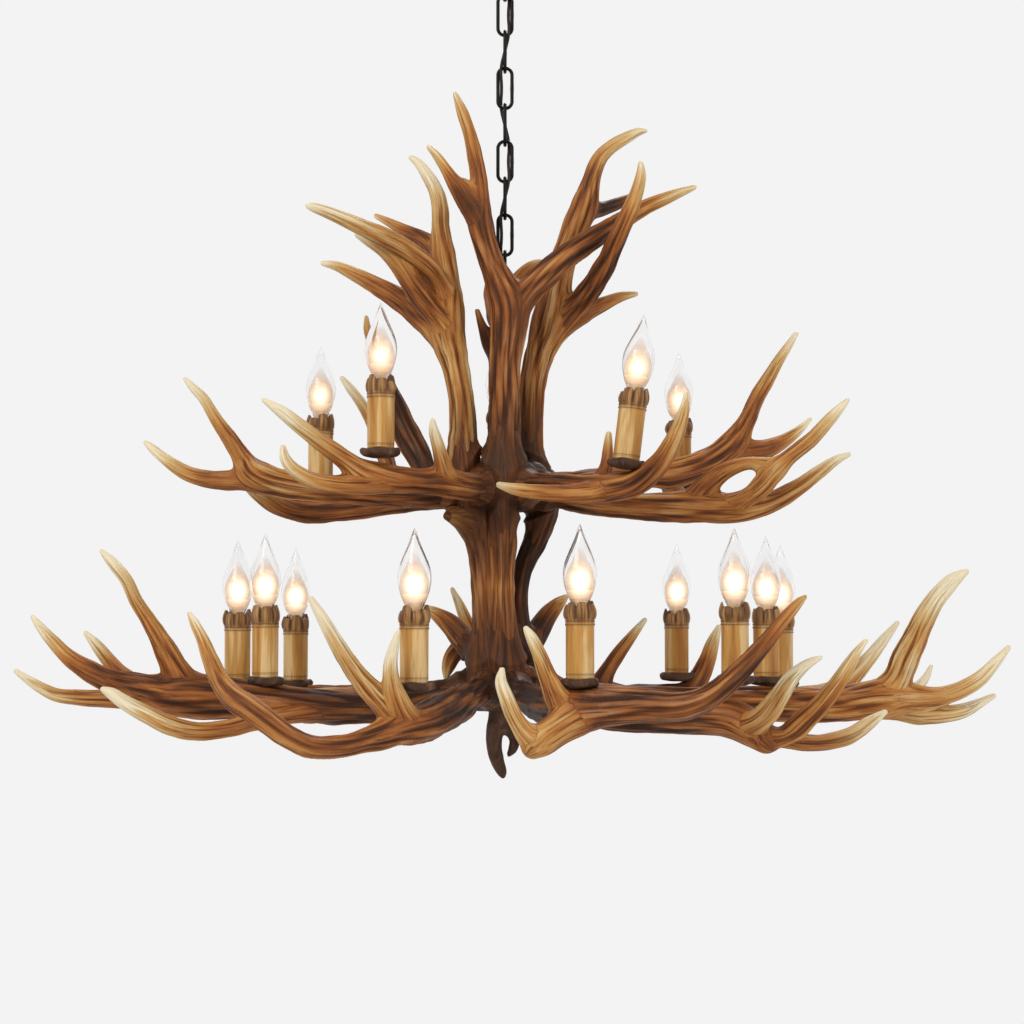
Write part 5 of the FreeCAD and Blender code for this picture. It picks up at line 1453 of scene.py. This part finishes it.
# A finish whose colour runs between two with noise in the object, and whose skin has the same grain.
def noisyFinish(name, roughness, metallic, noise, dark, pale, strength, distance):
    material, nodes, links, shader = newMaterial(name, roughness, metallic)
    cloud = objectNoise(nodes, links, **noise)
    colour = rampNode(nodes, links, cloud, [(0.3, dark), (0.7, pale)])
    links.new(colour, shader.inputs["Base Color"])
    addBump(nodes, links, shader, cloud, strength, distance)
    return material, shader


# Zinc plate: cloudy grey.
def steelFinish():
    return noisyFinish("zincSteel", 0.32, 1.0, {"Scale": 90.0, "Detail": 3.0},
                       (0.42, 0.42, 0.44), (0.62, 0.62, 0.62), 0.2, 0.0003)[0]


# Brown insulation with a fine twist running along the cord.
def cordFinish():
    material, nodes, links, shader = newMaterial("brownCord", 0.5)
    shader.inputs["Specular IOR Level"].default_value = 0.2
    along = attributeNode(nodes, "along").outputs["Fac"]
    twist = mathNode(nodes, links, "SINE", mathNode(nodes, links, "MULTIPLY", along, 2400.0))
    share = mathNode(nodes, links, "MULTIPLY_ADD", twist, 0.25, True, 0.5)
    colour = mixColours(nodes, links, share, (0.010, 0.006, 0.004), (0.026, 0.014, 0.008))
    links.new(colour, shader.inputs["Base Color"])
    addBump(nodes, links, shader, share, 0.3, 0.0003)
    return material


# Amber wax look: long stripes up the sleeve, a browner crown, dark ring lines, painted shade in the petal
# gaps and at the foot.
def sleeveFinish():
    values = {
        "amber": (0.33, 0.135, 0.024),
        "honey": (0.50, 0.255, 0.062),
        "straw": (0.66, 0.45, 0.20),
        "crown": (0.150, 0.060, 0.016),
        "rim": (0.46, 0.250, 0.085),
        # line: dark lines of the ring band, and painted shade in the petal gaps and at the foot.
        "line": (0.075, 0.030, 0.011),
    }
    material, nodes, links, shader = newMaterial("candleResin", 0.42)
    shader.inputs["Specular IOR Level"].default_value = 0.25
    shader.inputs["Subsurface Weight"].default_value = 0.12
    shader.inputs["Subsurface Radius"].default_value = (0.004, 0.002, 0.001)
    grain = attributeNode(nodes, "grain").outputs["Vector"]
    height = attributeNode(nodes, "height").outputs["Fac"]
    streaks = useStreaks(nodes, links, grain, 85.0, 300.0, 0.25, 0.15)
    colour = rampNode(nodes, links, streaks.outputs["Broad"], [
        (0.32, values["amber"]), (0.48, values["honey"]), (0.62, values["straw"])])
    fine = below(nodes, links, streaks.outputs["Fine"], 0.46, 2.5)
    colour = mixColours(nodes, links, fine, colour, values["amber"])
    crown = above(nodes, links, height, 0.68, 14.0)
    rim = above(nodes, links, streaks.outputs["Fine"], 0.42, 4.0)
    bark = mixColours(nodes, links, rim, values["crown"], values["rim"])
    # Painted shade: the gaps between the crown's petals take the line colour.
    bark = mixColours(nodes, links, attributeNode(nodes, "groove").outputs["Fac"], bark, values["line"])
    colour = mixColours(nodes, links, crown, colour, bark)
    # Dark lines at these heights of the sleeve, with their widths and strengths; the last is painted shadow
    # at the foot.
    ringLinesAndFootShadow = ((0.70, 0.012, 0.7), (0.745, 0.012, 0.8), (0.075, 0.016, 0.55), (0.0, 0.03, 0.6))
    for place, width, share in ringLinesAndFootShadow:
        away = mathNode(nodes, links, "ABSOLUTE", mathNode(nodes, links, "SUBTRACT", height, place))
        line = mathNode(nodes, links, "SUBTRACT", 1.0, mathNode(nodes, links, "DIVIDE", away, width), True)
        line = mathNode(nodes, links, "MULTIPLY", line, share)
        colour = mixColours(nodes, links, line, colour, values["line"])
    links.new(colour, shader.inputs["Base Color"])
    addBump(nodes, links, shader, streaks.outputs["Height"], 0.35, 0.0012)
    return material


# Clear lamp glass, a touch warm, drawn a little uneven.
def glassFinish():
    material, shader = noisyFinish("lampGlass", 0.0, 0.0, {"Scale": 60.0, "Detail": 1.0},
                                   (0.97, 0.965, 0.955), (1.0, 1.0, 1.0), 0.08, 0.001)
    shader.inputs["Transmission Weight"].default_value = 1.0
    shader.inputs["IOR"].default_value = 1.3
    return material


# The lit flame in a lamp: white by its heart and where it faces the eye, peach round that, smoky tan
# at its edge, and thinning out to nothing at its top.
def glowFinish():
    values = {
        "smoke": (0.50, 0.33, 0.20),
        "warmSmoke": (0.72, 0.52, 0.36),
        "peach": (1.0, 0.66, 0.38),
        "cream": (1.0, 0.86, 0.64),
        "white": (1.0, 0.96, 0.88),
        "strength": 1.25,
        "least": 0.26,
    }
    material, nodes, links, shader = newMaterial("lampFlame", 0.9)
    shader.inputs["Specular IOR Level"].default_value = 0.0
    lit, warmth, fading = [attributeNode(nodes, key).outputs["Fac"] for key in ("lit", "warmth", "fading")]
    facing = nodes.new("ShaderNodeLayerWeight")
    facing.inputs["Blend"].default_value = 0.5
    inward = mathNode(nodes, links, "SUBTRACT", 1.0, facing.outputs["Facing"])
    glow = mathNode(nodes, links, "MULTIPLY", mathNode(nodes, links, "POWER", inward, 3.2), lit)
    glow = mathNode(nodes, links, "MULTIPLY", glow, warmth)
    colour = rampNode(nodes, links, glow, [(0.0, values["smoke"]), (0.22, values["peach"]),
                                           (0.45, values["cream"]), (0.75, values["white"])], False)
    links.new(colour, shader.inputs["Emission Color"])
    strength = mathNode(nodes, links, "MULTIPLY_ADD", glow, values["strength"], third=values["least"])
    links.new(strength, shader.inputs["Emission Strength"])
    base = mixColours(nodes, links, lit, values["smoke"], values["warmSmoke"])
    links.new(base, shader.inputs["Base Color"])
    alpha = mathNode(nodes, links, "MULTIPLY_ADD", inward, 0.80, True, 0.05)
    alpha = mathNode(nodes, links, "MULTIPLY", alpha, mathNode(nodes, links, "SUBTRACT", 1.0, fading, True))
    links.new(alpha, shader.inputs["Alpha"])
    return material


# Moulded lamp holder: off-white plastic with a faint grain.
def holderFinish():
    return noisyFinish("lampHolder", 0.5, 0.0, {"Scale": 400.0, "Detail": 2.0},
                       (0.70, 0.66, 0.58), (0.82, 0.79, 0.72), 0.15, 0.0003)[0]


# room: a floor and a sky that camera, glossy and transmission rays see as one plain light grey
def seenRays(nodes, links):
    rays = nodes.new("ShaderNodeLightPath").outputs
    seen = mathNode(nodes, links, "MAXIMUM", rays["Is Camera Ray"], rays["Is Transmission Ray"])
    return mathNode(nodes, links, "MAXIMUM", seen, rays["Is Glossy Ray"])


def mixShaders(nodes, links, first, second, target):
    mix = nodes.new("ShaderNodeMixShader")
    links.new(seenRays(nodes, links), mix.inputs["Fac"])
    links.new(first, mix.inputs[1])
    links.new(second, mix.inputs[2])
    links.new(mix.outputs["Shader"], target.inputs["Surface"])


def roomFinish():
    material, nodes, links, shader = newMaterial("paper", 1.0)
    shader.inputs["Base Color"].default_value = roomValues["colour"] + (1.0,)
    shader.inputs["Specular IOR Level"].default_value = 0.0
    glow = nodes.new("ShaderNodeEmission")
    glow.inputs["Color"].default_value = roomValues["colour"] + (1.0,)
    mixShaders(nodes, links, shader.outputs["BSDF"], glow.outputs["Emission"], nodes["Material Output"])
    return material


def makeRoom():
    half, floor = roomValues["halfWidth"], roomValues["floorHeight"]
    flat = np.array([(-half, -half, floor), (half, -half, floor), (half, half, floor), (-half, half, floor)])
    piece = meshFromArrays("room_floor", flat, [[0, 1, 2, 3]])
    piece.data.materials.append(roomFinish())
    for name, value in lampValues.items():
        lamp = bpy.data.lights.new(name, "AREA")
        lamp.energy = value["power"]
        lamp.size = value["size"]
        lamp.color = value["colour"]
        holder = bpy.data.objects.new(name, lamp)
        bpy.context.scene.collection.objects.link(holder)
        holder.location = value["place"]
        aim = Vector(cameraValues["aim"]) - Vector(value["place"])
        holder.rotation_euler = aim.to_track_quat("-Z", "Y").to_euler()
    world = bpy.data.worlds.new("studio")
    world.use_nodes = True
    nodes, links = world.node_tree.nodes, world.node_tree.links
    light = nodes["Background"]
    light.inputs["Color"].default_value = worldValues["colour"] + (1.0,)
    light.inputs["Strength"].default_value = worldValues["strength"]
    sky = nodes.new("ShaderNodeBackground")
    sky.inputs["Color"].default_value = roomValues["colour"] + (1.0,)
    mixShaders(nodes, links, light.outputs["Background"], sky.outputs["Background"], nodes["World Output"])
    bpy.context.scene.world = world
    bpy.context.scene.view_settings.view_transform = "Standard"
    print("room lit")


# everything put together
upperBulbs = range(11, 16)  # those on the upper tier glow less
upperWarmth = 0.75
makeCord(cordFinish())
antlerResin = antlerFinish("antlerResin")
for antler in antlerLines:
    makeAntler(antler, antlerResin)
burrResin = antlerFinish("burrResin")
makeHub("upper", burrResin)
makeHub("lower", burrResin)
makeFinial(darkResinFinish("darkResin"))
makePans(darkResinFinish("panResin"))

zincSteel = steelFinish()
candleResin = sleeveFinish()
lampGlass = glassFinish()
lampFlame = glowFinish()
for number, light in enumerate(lightPlaces, 1):
    makeSleeve(number, light, candleResin)
    makeBulb(number, light, lampGlass, lampFlame, upperWarmth if number in upperBulbs else 1.0)
    makeCap(number, light, zincSteel)
print("candle lights made")

chainEnamel = blackFinish("chainEnamel", (0.0025, 0.0022, 0.002), 0.36, 0.15)
for number in range(linkValues["count"]):
    makeLink(number + 1, chainEnamel)
powderCoat = blackFinish("powderCoat", (0.018, 0.016, 0.015), 0.45, 1.0)
lampHolder = holderFinish()
keptNodes = {
    "canopy": powderCoat, "canopy_loop": powderCoat, "canopy_collar": powderCoat,
    "hanger_loop": powderCoat, "mounting_bar": powderCoat,
    "bar_screws": zincSteel, "hanger_rod": zincSteel, "rod_nuts": zincSteel,
    "lamp_sockets": lampHolder,
}
for node, material in keptNodes.items():
    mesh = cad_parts[node].data
    mesh.materials.clear()
    mesh.materials.append(material)
print("carried nodes finished")

makeRoom()
